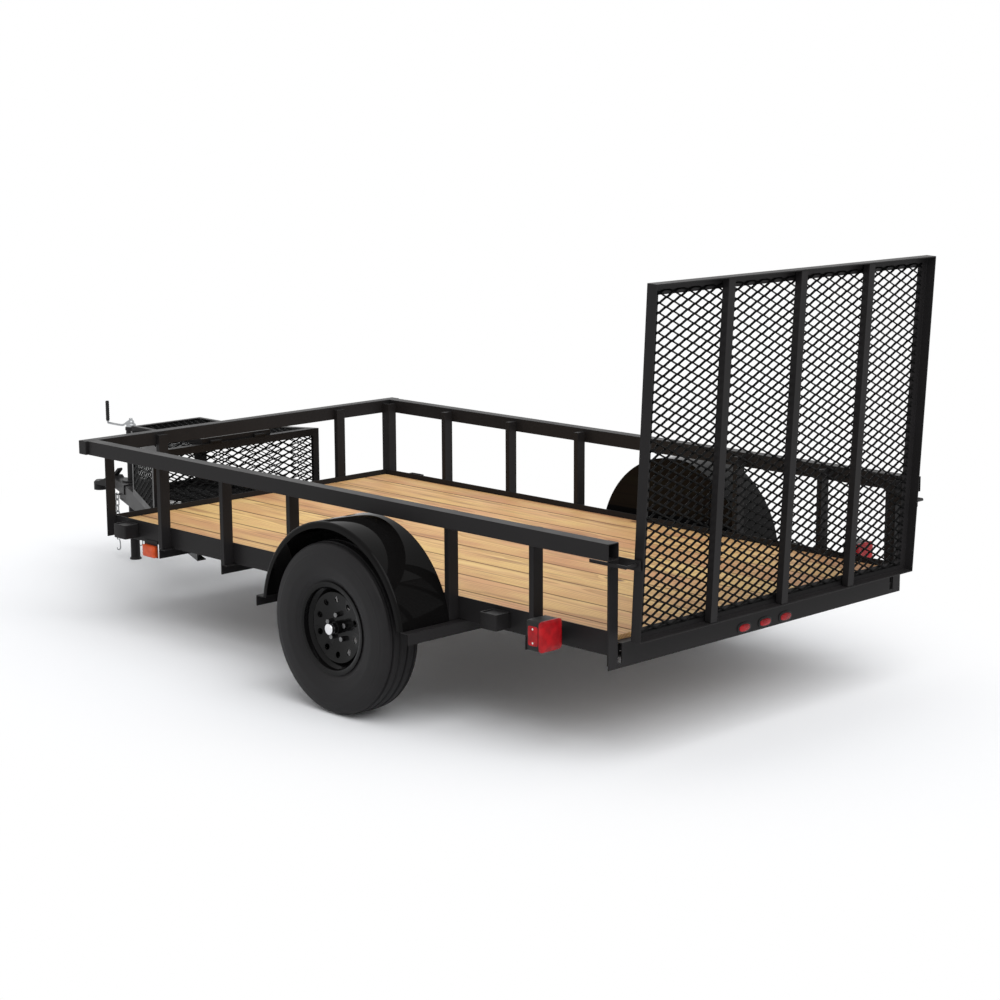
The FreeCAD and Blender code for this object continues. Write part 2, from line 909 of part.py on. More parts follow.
body = new_body("jack_crank", x=z.jack_station)
boss_top = z.jack_top + z.crank_boss_height
arm_low = z.jack_top - z.crank_bar + z.crank_rise
arm_high = arm_low + z.crank_bar
elbow = z.crank_drop_station - z.jack_station
reach = z.crank_reach_station - z.jack_station
arm = [
    (NONE, boss_top - z.crank_bar),
    (elbow, arm_low),
    (reach + z.crank_bar / 2, arm_low),
    (reach + z.crank_bar / 2, arm_high),
    (elbow + z.crank_bar / 2, arm_high),
    (NONE, boss_top),
]
pad(body, "XZ", [arm], -z.crank_bar / 2, z.crank_bar / 2)
pad(body, "XY", [(NONE, NONE, z.crank_boss_radius)], z.jack_top, boss_top)
grip = (reach, NONE, z.crank_grip_radius)
pad(body, "XY", [grip], arm_high, arm_high + z.crank_grip_length)
keep(body, "jack_crank")

# Safety chains: eye bolts in the tongue, eight-sided links and hooks
link_pitch = z.chain_inner_length - z.chain_fit
link_half = z.chain_inner_length / 2 + z.chain_wire


def link_rings(across, up):
    """Outer and inner outline of an upright chain link about a centre."""
    rings = []
    for grow in (z.chain_wire, NONE):
        wide = z.chain_inner_width / 2 + grow
        tall = z.chain_inner_length / 2 + grow
        bevel = wide / 2
        quarter = [(wide, tall - bevel), (wide - bevel, tall)]
        ring = quarter + [(-x, y) for x, y in reversed(quarter)]
        ring += [(-x, -y) for x, y in quarter]
        ring += [(x, -y) for x, y in reversed(quarter)]
        rings.append([(across + x, up + y) for x, y in ring])
    return rings


chains = []
wire_half = z.chain_wire / 2
first_link = z.chain_height + z.chain_bolt_radius - z.chain_inner_length / 2
for name, side in SIDES:
    body = new_body("chain_bolt_" + name)
    bolt = (z.chain_station, z.chain_height, z.chain_bolt_radius)
    head = (z.chain_station, z.chain_height, z.chain_bolt_head)
    bolt_root = tongue_half(z.chain_station - z.chain_bolt_radius)
    bolt_end = z.chain_offset + z.chain_wire
    start, end = span(side, bolt_root, bolt_end)
    pad(body, "XZ", [bolt], start, end)
    start, end = span(side, bolt_end, bolt_end + z.chain_wire)
    pad(body, "XZ", [head], start, end)
    chains.append(body)
    offset = z.chain_offset * side
    body = new_body("chain_flat_" + name)
    rings = []
    for count in (0, 2, 4, 6):
        rings += link_rings(z.chain_station, first_link - link_pitch * count)
    pad(body, "XZ", rings, offset - wire_half, offset + wire_half)
    chains.append(body)
    body = new_body("chain_turned_" + name)
    rings = []
    for count in (1, 3, 5):
        rings += link_rings(offset, first_link - link_pitch * count)
    pad(body, "YZ", rings, z.chain_station - wire_half, z.chain_station + wire_half)
    chains.append(body)
    body = new_body("chain_hook_" + name)
    eye = first_link - link_pitch * 7
    eye_radius = z.chain_inner_width / 2 + z.chain_wire
    low = eye - z.hook_length + z.hook_radius
    bend = offset - eye_radius + z.hook_radius
    throat_radius = z.hook_radius - z.chain_wire
    hook = [
        (offset + eye_radius, eye, offset, eye, LEFT),
        (offset - eye_radius, eye),
        (bend - z.hook_radius, low, bend, low, LEFT),
        (bend + z.hook_radius, low),
        (bend + throat_radius, low, bend, low, RIGHT),
        (bend - throat_radius, low),
        (bend - throat_radius, eye - eye_radius),
        (offset + eye_radius, eye - eye_radius / 2),
    ]
    hole = (offset, eye, z.chain_inner_width / 2)
    pad(body, "YZ", [hook, hole], z.chain_station - wire_half, z.chain_station + wire_half)
    chains.append(body)
compound("safety_chains", chains)

# Axle: round beam with turned-down spindles
body = new_body("axle_beam", x=z.wheel_station, height=z.tyre_radius)
profile = [
    (-z.spindle_station, NONE),
    (z.spindle_station, NONE),
    (z.spindle_station, z.spindle_radius),
    (z.axle_end_station, z.spindle_radius),
    (z.axle_end_station, z.axle_radius),
    (-z.axle_end_station, z.axle_radius),
    (-z.axle_end_station, z.spindle_radius),
    (-z.spindle_station, z.spindle_radius),
]
revolve(body, "YZ", [profile], "Y_Axis")
keep(body, "axle_beam")

# Tyre half section, as shares of the half width and of the section height
OUTSIDE_SHARES = (
    (0.60, 0.0),
    (0.765, 0.0),
    (0.765, 0.105),
    (0.92, 0.24),
    (1.0, 0.47),
    (0.985, 0.68),
    (0.93, 0.86),
    (0.85, 0.945),
    (0.70, 0.985),
    (0.30, 1.0),
)
INSIDE_SHARES = (
    (0.72, 0.84),
    (0.88, 0.66),
    (0.90, 0.46),
    (0.80, 0.22),
    (0.60, 0.05),
)
tyre_height = z.tyre_radius - z.rim_bead_radius


def tyre_points(shares, side):
    """Section points on one side of the tyre's middle plane."""
    half_width = z.tyre_width / 2 * side
    return [(half_width * wide, z.rim_bead_radius + tyre_height * high) for wide, high in shares]


for name, side in SIDES:
    seat = {"x": z.wheel_station, "height": z.tyre_radius}
    body = new_body("tyre_" + name, y=z.tyre_offset * side, **seat)
    outside = tyre_points(OUTSIDE_SHARES, RIGHT) + tyre_points(OUTSIDE_SHARES, LEFT)[::-1]
    inside = tyre_points(INSIDE_SHARES, LEFT)[::-1] + tyre_points(INSIDE_SHARES, RIGHT)
    revolve(body, "YZ", [outside + inside], "Y_Axis")
    keep(body, "tyre_" + name)

    body = new_body("rim_" + name, **seat)
    outer_edge = z.tyre_offset + z.rim_half_width
    inner_edge = z.tyre_offset - z.rim_half_width
    outer_bead = outer_edge - z.rim_bead_width
    inner_bead = inner_edge + z.rim_bead_width
    well_outer = z.tyre_offset + z.rim_well_half
    well_inner = z.tyre_offset - z.rim_well_half
    wall = z.rim_wall
    barrel = [
        (inner_edge - z.rim_lip, z.rim_flange_radius),
        (inner_edge, z.rim_flange_radius),
        (inner_edge, z.rim_bead_radius),
        (inner_bead, z.rim_bead_radius),
        (well_inner, z.rim_well_radius),
        (well_outer, z.rim_well_radius),
        (outer_bead, z.rim_bead_radius),
        (outer_edge, z.rim_bead_radius),
        (outer_edge, z.rim_flange_radius),
        (outer_edge + z.rim_lip, z.rim_flange_radius),
        (outer_edge + z.rim_lip, z.rim_flange_radius - wall),
        (outer_edge + wall, z.rim_bead_radius - wall),
        (outer_bead + wall, z.rim_bead_radius - wall),
        (well_outer + wall, z.rim_well_radius - wall),
        (well_inner - wall, z.rim_well_radius - wall),
        (inner_bead - wall, z.rim_bead_radius - wall),
        (inner_edge - wall, z.rim_bead_radius - wall),
        (inner_edge - z.rim_lip, z.rim_flange_radius - wall),
    ]
    revolve(body, "YZ", [flipped(barrel, side)], "Y_Axis")
    hub_face = z.disc_face_station - z.disc_wall
    ring_back = z.disc_ring_station - z.disc_wall
    well_seat = z.rim_well_radius - wall / 2
    bore_radius = z.hub_nose_radius + z.hub_bore_gap
    disc = [
        (hub_face, bore_radius),
        (z.disc_face_station, bore_radius),
        (z.disc_face_station, z.disc_dish_radius),
        (z.disc_ring_station, z.disc_ring_radius - z.disc_wall),
        (z.disc_ring_station, z.disc_ring_radius),
        (well_outer + wall, well_seat),
        (well_outer - z.disc_wall, well_seat),
        (well_outer - z.disc_wall, z.disc_ring_radius - z.disc_wall / 2),
        (ring_back, z.disc_ring_radius - z.disc_wall * 2),
        (hub_face, z.disc_dish_radius),
    ]
    revolve(body, "YZ", [flipped(disc, side)], "Y_Axis")
    start, end = span(side, well_outer - z.overrun, z.disc_ring_station + z.overrun)
    window = pocket(body, "XZ", [(NONE, z.window_circle, z.window_radius)], start, end)
    polar(body, window, "Y_Axis", 10)
    keep(body, "rim_" + name)

    hub_body = new_body("hub_body_" + name, **seat)
    bore = z.spindle_radius + z.bearing_fit
    cap_inside = z.cap_radius - z.cap_wall
    cap_floor = z.cap_station - z.cap_wall
    hub = [
        (z.hub_back_station, bore),
        (z.hub_back_station, z.hub_radius),
        (hub_face - z.hub_flange_thick, z.hub_radius),
        (hub_face - z.hub_flange_thick, z.hub_flange_radius),
        (hub_face, z.hub_flange_radius),
        (hub_face, z.hub_nose_radius),
        (z.hub_nose_station, z.hub_nose_radius),
        (z.hub_nose_station, z.cap_radius),
        (z.cap_station - z.cap_edge, z.cap_radius),
        (z.cap_station, z.cap_radius - z.cap_edge),
        (z.cap_station, NONE),
        (cap_floor, NONE),
        (cap_floor, cap_inside - z.cap_edge),
        (cap_floor - z.cap_edge, cap_inside),
        (z.hub_nose_station, cap_inside),
        (z.hub_nose_station, bore),
    ]
    revolve(hub_body, "YZ", [flipped(hub, side)], "Y_Axis")
    nuts = new_body("nuts_" + name, **seat)
    hexagon = []
    for corner in range(6):
        turn = as_size(60 * corner)
        hexagon.append((z.nut_radius * cos(turn), z.nut_circle + z.nut_radius * sin(turn)))
    start, end = span(side, z.disc_face_station, z.disc_face_station + z.nut_height)
    nut = pad(nuts, "XZ", [hexagon], start, end)
    polar(nuts, nut, "Y_Axis", 5)
    compound("hub_" + name, [hub_body, nuts])

# Leaf springs hung under the axle, each leaf a parabola in side view
leaf_top = -z.axle_radius - z.seat_thick
eye_rise = z.spring_eye_height - z.tyre_radius
LEAVES = 4


def leaf_height(reach):
    """Top of the main leaf above the axle centre at a distance from it."""
    rise = eye_rise - z.spring_eye_radius + z.leaf_thick + z.leaf_tuck - leaf_top
    return leaf_top + rise * (reach / z.spring_reach) * (reach / z.spring_reach)


leaf_step = z.spring_reach / LEAVES
seat_low = leaf_top + (leaf_height(leaf_step) - leaf_top) * (z.seat_half / leaf_step)
springs = []
fittings = []
for name, side in SIDES:
    seat = {"x": z.wheel_station, "height": z.tyre_radius}
    near = z.spring_offset - z.leaf_width / 2
    far = z.spring_offset + z.leaf_width / 2
    cheek_near = near - z.hanger_gap
    cheek_far = far + z.hanger_gap
    cheeks = ((cheek_near - z.hanger_wall, cheek_near), (cheek_far, cheek_far + z.hanger_wall))
    body = new_body("leaves_" + name, **seat)
    start, end = span(side, near, far)
    for number in range(LEAVES):
        drop = z.leaf_thick * number
        steps = range(number - LEAVES, LEAVES + 1 - number)
        upper = [(leaf_step * one, leaf_height(leaf_step * one) - drop) for one in steps]
        lower = [(across, up - z.leaf_thick) for across, up in upper]
        pad(body, "XZ", [lower + upper[::-1]], start, end)
    eyes = [(z.spring_reach * one, eye_rise, z.spring_eye_radius) for one in (LEFT, RIGHT)]
    pad(body, "XZ", eyes, start, end)
    bore = z.spring_pin_radius + z.spring_fit
    holes = [(z.spring_reach * one, eye_rise, bore) for one in (LEFT, RIGHT)]
    pocket(body, "XZ", holes, start - z.overrun, end + z.overrun)
    springs.append(body)

    body = new_body("front_hanger_" + name)
    centre = z.wheel_station + z.spring_reach
    low = z.spring_eye_height - z.spring_eye_radius
    cheek = [
        (centre - z.hanger_half, z.frame_bottom),
        (centre - z.spring_eye_radius, low),
        (centre + z.spring_eye_radius, low),
        (centre + z.hanger_half, z.frame_bottom),
    ]
    for inner, outer in cheeks:
        start, end = span(side, inner, outer)
        pad(body, "XZ", [cheek], start, end)
    start, end = span(side, cheek_near - z.hanger_wall, cheek_far + z.hanger_wall)
    pad(body, "XZ", [(centre, z.spring_eye_height, z.spring_pin_radius)], start, end)
    fittings.append(body)

    body = new_body("rear_hanger_" + name)
    eye_x = z.wheel_station - z.spring_reach
    top_x = eye_x - z.shackle_back
    top_z = z.spring_eye_height + z.shackle_rise
    start, end = span(side, near, far)
    hanger = [
        (top_x - z.hanger_half, z.frame_bottom),
        (top_x - z.spring_eye_radius, top_z, top_x, top_z, LEFT),
        (top_x + z.spring_eye_radius, top_z),
        (top_x + z.spring_eye_radius, z.frame_bottom),
    ]
    pad(body, "XZ", [hanger], start, end)
    link = [
        (top_x, top_z + z.spring_eye_radius, top_x, top_z, LEFT),
        (top_x, top_z - z.spring_eye_radius),
        (eye_x, z.spring_eye_height - z.spring_eye_radius, eye_x, z.spring_eye_height, LEFT),
        (eye_x, z.spring_eye_height + z.spring_eye_radius),
    ]
    for inner, outer in cheeks:
        start, end = span(side, inner, outer)
        pad(body, "XZ", [link], start, end)
    pins = [(top_x, top_z, z.spring_pin_radius), (eye_x, z.spring_eye_height, z.spring_pin_radius)]
    start, end = span(side, cheek_near - z.hanger_wall, cheek_far + z.hanger_wall)
    pad(body, "XZ", pins, start, end)
    fittings.append(body)

    body = new_body("axle_seat_" + name, **seat)
    start, end = span(side, near, far)
    saddle = [
        (-z.seat_half, seat_low),
        (NONE, leaf_top),
        (z.seat_half, seat_low),
        (z.seat_half, leaf_top + z.seat_thick * 2),
        (-z.seat_half, leaf_top + z.seat_thick * 2),
    ]
    pad(body, "XZ", [saddle], start, end)
    round_seat = (NONE, NONE, z.axle_radius + z.spring_fit)
    pocket(body, "XZ", [round_seat], start, end)
    fittings.append(body)

    body = new_body("axle_clamps_" + name, **seat)
    bow_in = z.axle_radius + z.spring_fit
    bow_out = bow_in + z.clamp_rod
    plate_top = leaf_top - z.leaf_thick * LEAVES
    bow = [
        (bow_out, plate_top),
        (bow_out, NONE, NONE, NONE, LEFT),
        (-bow_out, NONE),
        (-bow_out, plate_top),
        (-bow_in, plate_top),
        (-bow_in, NONE, NONE, NONE, RIGHT),
        (bow_in, NONE),
        (bow_in, plate_top),
    ]
    for inner, outer in (
        (near - z.hanger_gap - z.clamp_rod, near - z.hanger_gap),
        (far + z.hanger_gap, far + z.hanger_gap + z.clamp_rod),
    ):
        start, end = span(side, inner, outer)
        pad(body, "XZ", [bow], start, end)
    plate = box(-z.seat_half, plate_top - z.clamp_plate, z.seat_half, plate_top)
    start, end = span(side, near - z.clamp_rod * 2, far + z.clamp_rod * 2)
    pad(body, "XZ", [plate], start, end)
    fittings.append(body)
compound("leaf_springs", springs)
compound("spring_fittings", fittings)

# Fenders: rolled sheet with an outer lip, closed by a plate at the back, cut flat to stand on their bars
foot_height = z.frame_bottom - z.tyre_radius
for name, side in SIDES:
    body = new_body("fender_" + name, x=z.wheel_station, height=z.tyre_radius)
    inside = z.fender_radius - z.fender_wall
    section = [
        (post_outer, inside),
        (z.fender_outer - z.fender_wall, inside),
        (z.fender_outer - z.fender_wall, z.fender_radius - z.fender_lip),
        (z.fender_outer, z.fender_radius - z.fender_lip),
        (z.fender_outer, z.fender_radius),
        (post_outer, z.fender_radius),
    ]
    revolve(body, "YZ", [flipped(section, side)], "Y_Axis", as_size(180))
    back = [
        (z.fender_radius, NONE, NONE, NONE, LEFT),
        (-z.fender_radius, NONE),
    ]
    start, end = span(side, post_outer, post_outer + z.fender_wall)
    pad(body, "XZ", [back], start, end)
    start, end = span(side, NONE, z.fender_outer + z.fender_lip)
    pocket(body, "XZ", [box(-z.fender_outer, -foot_height, z.fender_outer, foot_height)], start, end)
    keep(body, "fender_" + name)

# Ramp gate: angle frame, channel dividers and expanded mesh
gate_seat = {"x": -z.gate_setback, "height": z.gate_bottom, "axis": RAMP_AXIS, "angle": z.gate_lean}
flange_back = z.gate_depth - z.gate_wall
stile = z.gate_half - z.gate_stile
outer = box(-z.gate_half, NONE, z.gate_half, z.gate_height)
inner_half = z.gate_half - z.gate_wall
inner = box(-inner_half, z.gate_wall, inner_half, z.gate_height - z.gate_wall)
opening = box(-stile, z.gate_rail, stile, z.gate_height - z.gate_rail)
axis_reach = z.gate_depth + z.hinge_reach

body = new_body("gate_frame", **gate_seat)
pad(body, "YZ", [outer, inner], NONE, flange_back)
pad(body, "YZ", [outer, opening], flange_back, z.gate_depth)
leaf = box(z.gate_depth, z.hinge_rise, axis_reach, z.hinge_rise + z.hinge_barrel_radius)
barrel_ring = (axis_reach, z.hinge_rise, z.hinge_barrel_radius)
pin_hole = (axis_reach, z.hinge_rise, z.hinge_pin_radius + z.hinge_pin_fit)
for side in (LEFT, RIGHT):
    near = z.hinge_spacing * side - z.hinge_barrel_length / 2
    far = near + z.hinge_barrel_length
    pad(body, "XZ", [leaf], near, far)
    pad(body, "XZ", [barrel_ring], near, far)
    pocket(body, "XZ", [pin_hole], near, far)
keep(body, "gate_frame")

body = new_body("gate_dividers", **gate_seat)
rings = []
for count in (-1, 0, 1):
    near = z.divider_spacing * count - z.divider_width / 2
    far = near + z.divider_width
    rings.append([
        (z.divider_rear, near),
        (z.divider_front, near),
        (z.divider_front, near + z.divider_wall),
        (z.divider_rear + z.divider_wall, near + z.divider_wall),
        (z.divider_rear + z.divider_wall, far - z.divider_wall),
        (z.divider_front, far - z.divider_wall),
        (z.divider_front, far),
        (z.divider_rear, far),
    ])
pad(body, "XY", rings, z.gate_wall, z.gate_height - z.gate_wall)
keep(body, "gate_dividers")


def strands(name, panel, start, lean):
    """One layer of slanting strands over a panel, trimmed to its outline."""
    seat, plane, outline, low, height, width, mesh = panel
    long_way, short_way, strand, layer = mesh
    slope = long_way / short_way
    run = height * slope
    count = int(math.ceil((width.value + run.value) / long_way.value)) + 1
    flat_width = strand * root(slope * slope + 1)
    first = -width / 2 - run if lean == LEFT else -width / 2
    rows = new_body(name + "_rows", **seat)
    bar = [
        (first, low),
        (first + flat_width, low),
        (first + flat_width + run * lean, low + height),
        (first + run * lean, low + height),
    ]
    row = pad(rows, plane, [bar], start, start + layer)
    linear(rows, row, "Y_Axis" if plane == "YZ" else "X_Axis", long_way * (count - 1), count)
    trim = new_body(name + "_outline", **seat)
    pad(trim, plane, [outline], start, start + layer)
    common = doc.addObject("Part::Common", name)
    common.Base = rows
    common.Tool = trim
    return common


def mesh_panel(name, start, *panel):
    """Two crossing layers of strands that lie a hair apart.

    A panel is its seat, plane, outline, lowest point, height and width, and
    the mesh: the diamond's long and short way, the strand's width and the
    layer's thickness.
    """
    second = start + panel[-1][3] + z.mesh_layer_gap
    return [
        strands(name + "_up", panel, start, LEFT),
        strands(name + "_down", panel, second, RIGHT),
    ]


ramp_mesh = (z.mesh_long_way, z.mesh_short_way, z.mesh_strand, z.mesh_layer)
mesh_half = stile + z.mesh_tuck
mesh_low = z.gate_rail - z.mesh_tuck
mesh_tall = z.gate_height - mesh_low * 2
mesh_outline = clipped(box(-mesh_half, mesh_low, mesh_half, mesh_low + mesh_tall), z.mesh_tuck)
compound("gate_mesh", mesh_panel(
    "gate_strands", z.divider_front, gate_seat, "YZ", mesh_outline,
    mesh_low, mesh_tall, mesh_half * 2, ramp_mesh,
))

# Gate hinge lugs on the sill, shaped to pass between the opened gate's parts
axis_x = axis_reach * cos(z.gate_lean) - z.hinge_rise * sin(z.gate_lean) - z.gate_setback
axis_z = axis_reach * sin(z.gate_lean) + z.hinge_rise * cos(z.gate_lean) + z.gate_bottom
body = new_body("gate_hinge_lugs", x=axis_x, height=axis_z)
eye_low = -z.hinge_lug_radius * sin(z.hinge_relief_angle)
eye_front = z.hinge_lug_radius * cos(z.hinge_relief_angle)
foot_x = z.rear_setback - axis_x
foot_z = sill_top - axis_z
lug = [
    (eye_front, eye_low),
    (foot_x, foot_z),
    (foot_x + z.hinge_lug_foot, foot_z),
    (foot_x + z.hinge_lug_foot, foot_z + z.hinge_lug_thick),
    (eye_front, -eye_low),
]
for side in (LEFT, RIGHT):
    centre = z.hinge_spacing * side
    inner_face = z.hinge_barrel_length / 2 + z.hinge_side_gap
    outer_face = inner_face + z.hinge_lug_thick
    for near, far in ((-outer_face, -inner_face), (inner_face, outer_face)):
        pad(body, "XZ", [lug], centre + near, centre + far)
        pad(body, "XZ", [(NONE, NONE, z.hinge_lug_radius)], centre + near, centre + far)
    pad(body, "XZ", [(NONE, NONE, z.hinge_pin_radius)], centre - outer_face, centre + outer_face)
keep(body, "gate_hinge_lugs")

# Gate latches: side plates on the rear corner posts, with drawn-back pins
latches = []
for name, side in SIDES:
    body = new_body("latch_" + name)
    low = z.gate_latch_bottom
    high = low + z.gate_latch_height
    plate = box(-z.gate_latch_reach, low, z.rear_setback, high)
    start, end = span(side, frame_half, frame_half + z.gate_latch_wall)
    pad(body, "XZ", [plate], start, end)
    foot = box(z.rear_setback - z.gate_latch_wall, low, z.rear_setback, high)
    start, end = span(side, frame_half, post_outer)
    pad(body, "XZ", [foot], start, end)
    pin_height = low + z.gate_latch_height / 2
    pin = (-z.gate_latch_pin_station, pin_height, z.gate_latch_pin_radius)
    start, end = span(side, z.gate_half + z.gate_latch_clearance, z.gate_latch_pin_out)
    pad(body, "XZ", [pin], start, end)
    handle = box(
        -z.gate_latch_pin_station,
        pin_height - z.gate_latch_pin_radius,
        z.gate_latch_handle,
        pin_height + z.gate_latch_pin_radius,
    )
    start, end = span(side, z.gate_latch_pin_out - z.gate_latch_wall, z.gate_latch_pin_out)
    pad(body, "XZ", [handle], start, end)
    latches.append(body)
compound("gate_latches", latches)

# Tongue basket: angle frame, expanded mesh panels and a hinged mesh lid
basket_front = z.basket_rear + z.basket_length
basket_slope = tan(z.basket_angle)
basket_front_half = z.basket_rear_half - z.basket_length * basket_slope
basket_floor = z.frame_bottom


def basket_half(station, inset=NONE):
    """Half width of the basket at a station, some way inside its sides."""
    return z.basket_rear_half - (station - z.basket_rear) * basket_slope - inset / cos(z.basket_angle)


def basket_plan(inset):
    """Plan of the basket drawn in by an inset on all four sides."""
    rear = z.basket_rear + inset
    front = basket_front - inset
    half_rear = basket_half(rear, inset)
    half_front = basket_half(front, inset)
    return [(rear, -half_rear), (front, -half_front), (front, half_front), (rear, half_rear)]


body = new_body("basket_frame")
pad(body, "XY", [basket_plan(NONE), basket_plan(z.basket_wall)], basket_floor, z.basket_top)
leg_low = basket_floor + z.basket_leg
leg_high = z.basket_top - z.basket_leg
window = box(z.basket_rear + z.basket_leg, leg_low, basket_front - z.basket_leg, leg_high)
pocket(body, "XZ", [window], -z.basket_rear_half, z.basket_rear_half)
for start, half in (
    (z.basket_rear, z.basket_rear_half),
    (basket_front - z.basket_wall, basket_front_half),
):
    window = box(z.basket_leg - half, leg_low, half - z.basket_leg, leg_high)
    pocket(body, "YZ", [window], start, start + z.basket_wall)
rim_plans = [basket_plan(NONE), basket_plan(z.basket_leg)]
pad(body, "XY", rim_plans, basket_floor, basket_floor + z.basket_wall)
pad(body, "XY", rim_plans, z.basket_top - z.basket_wall, z.basket_top)
bar_rear = z.basket_rear + z.basket_wall
bar_front = basket_front - z.basket_wall
bar_bend = z.basket_rear + (z.basket_rear_half - z.lid_half) / basket_slope - z.basket_leg
for side in (LEFT, RIGHT):
    lid_bar = [
        (bar_rear, z.lid_half - z.lid_leg),
        (bar_front, z.lid_half - z.lid_leg),
        (bar_front, basket_half(bar_front, z.basket_wall)),
        (bar_bend, z.lid_half),
        (bar_rear, z.lid_half),
    ]
    pad(body, "XY", [sided(lid_bar, side)], z.basket_top - z.basket_wall, z.basket_top)
hinge_x = z.basket_rear + z.basket_wall
hinge_z = z.basket_top + z.lid_rest + z.lid_hinge_radius
ear = [
    (hinge_x + z.lid_hinge_radius, hinge_z, hinge_x, hinge_z, LEFT),
    (hinge_x - z.lid_hinge_radius, hinge_z),
    (hinge_x - z.lid_hinge_radius, z.basket_top - z.basket_wall),
    (hinge_x + z.lid_hinge_radius, z.basket_top - z.basket_wall),
]
for side in (LEFT, RIGHT):
    centre = z.lid_hinge_spacing * side
    inner_face = z.lid_hinge_length / 2 + z.hinge_side_gap
    outer_face = inner_face + z.lid_ear
    for near, far in ((-outer_face, -inner_face), (inner_face, outer_face)):
        pad(body, "XZ", [ear], centre + near, centre + far)
    pin = (hinge_x, hinge_z, z.lid_pin_radius)
    pad(body, "XZ", [pin], centre - outer_face, centre + outer_face)
keep(body, "basket_frame")

fine_mesh = (z.basket_mesh_long, z.basket_mesh_short, z.basket_strand, z.basket_layer)
mesh_stack = z.basket_layer * 2 + z.mesh_layer_gap
panels = []
low = basket_floor + z.basket_wall
tall = z.basket_top - z.basket_wall - low
edge = z.basket_leg / 2
corner_cut = z.basket_leg / 4
for name, station, half in (
    ("rear", z.basket_rear + z.basket_wall, z.basket_rear_half),
    ("front", basket_front - z.basket_wall - mesh_stack, basket_front_half),
):
    half_panel = half - z.basket_leg
    outline = clipped(box(-half_panel, low + edge, half_panel, low + tall - edge), corner_cut)
    panels += mesh_panel(
        "basket_" + name, NONE, {"x": station}, "YZ", outline, low, tall, half_panel * 2, fine_mesh
    )
mid_station = z.basket_rear + z.basket_length / 2
side_length = z.basket_length / cos(z.basket_angle)
for name, side in SIDES:
    half_panel = side_length / 2 - z.basket_leg
    outline = clipped(box(-half_panel, low + edge, half_panel, low + tall - edge), corner_cut)
    seat = {
        "x": mid_station,
        "y": basket_half(mid_station) * side,
        "axis": UPRIGHT,
        "angle": (as_size(90) - z.basket_angle) * side,
    }
    inward = -z.basket_wall - mesh_stack
    panels += mesh_panel(
        "basket_" + name, inward, seat, "YZ", outline, low, tall, half_panel * 2, fine_mesh
    )
flat_seat = {"x": mid_station}
flat_sizes = (-z.basket_rear_half, z.basket_rear_half * 2, z.basket_length, fine_mesh)
floor_plan = [(x - mid_station, y) for x, y in basket_plan(edge)]
panels += mesh_panel(
    "basket_floor", low, flat_seat, "XY", clipped(floor_plan, corner_cut), *flat_sizes
)
wedge_rear = z.basket_rear + edge
wedge_front = bar_bend - z.basket_leg
wedge = [
    (wedge_rear, z.lid_half - z.lid_leg / 2),
    (wedge_front, z.lid_half - z.lid_leg / 2),
    (wedge_front, basket_half(wedge_front, edge)),
    (wedge_rear, basket_half(wedge_rear, edge)),
]
for name, side in SIDES:
    plan = clipped([(x - mid_station, y) for x, y in sided(wedge, side)], corner_cut)
    under_top = z.basket_top - z.basket_wall - mesh_stack
    panels += mesh_panel("basket_top_" + name, under_top, flat_seat, "XY", plan, *flat_sizes)
compound("basket_mesh", panels)

body = new_body("lid_frame")
lid_rear = z.basket_rear + z.lid_rear_gap
lid_front = basket_front - z.lid_front_gap
lid_low = z.basket_top + z.lid_rest
lid_high = lid_low + z.lid_leg
lid_outer = box(lid_rear, -z.lid_half, lid_front, z.lid_half)
lid_inner = box(
    lid_rear + z.lid_wall, z.lid_wall - z.lid_half, lid_front - z.lid_wall, z.lid_half - z.lid_wall
)
lid_opening = box(
    lid_rear + z.lid_leg, z.lid_leg - z.lid_half, lid_front - z.lid_leg, z.lid_half - z.lid_leg
)
pad(body, "XY", [lid_outer, lid_inner], lid_low, lid_high)
pad(body, "XY", [lid_outer, lid_opening], lid_high - z.lid_wall, lid_high)
lid_bore = z.lid_pin_radius + z.hinge_pin_fit
for side in (LEFT, RIGHT):
    near = z.lid_hinge_spacing * side - z.lid_hinge_length / 2
    far = near + z.lid_hinge_length
    pad(body, "XZ", [box(hinge_x, hinge_z, lid_rear, hinge_z + z.lid_hinge_radius)], near, far)
    pad(body, "XZ", [(hinge_x, hinge_z, z.lid_hinge_radius)], near, far)
    pocket(body, "XZ", [(hinge_x, hinge_z, lid_bore)], near, far)
keep(body, "lid_frame")

lid_edge = z.lid_leg / 2
lid_length = lid_front - lid_rear
lid_plan = clipped(box(
    lid_edge - lid_length / 2, lid_edge - z.lid_half, lid_length / 2 - lid_edge, z.lid_half - lid_edge
), z.lid_leg)
compound("lid_mesh", mesh_panel(
    "lid_strands", lid_high - z.lid_wall - mesh_stack, {"x": lid_rear + lid_length / 2}, "XY", lid_plan,
    -z.lid_half, z.lid_half * 2, lid_length, fine_mesh,
))

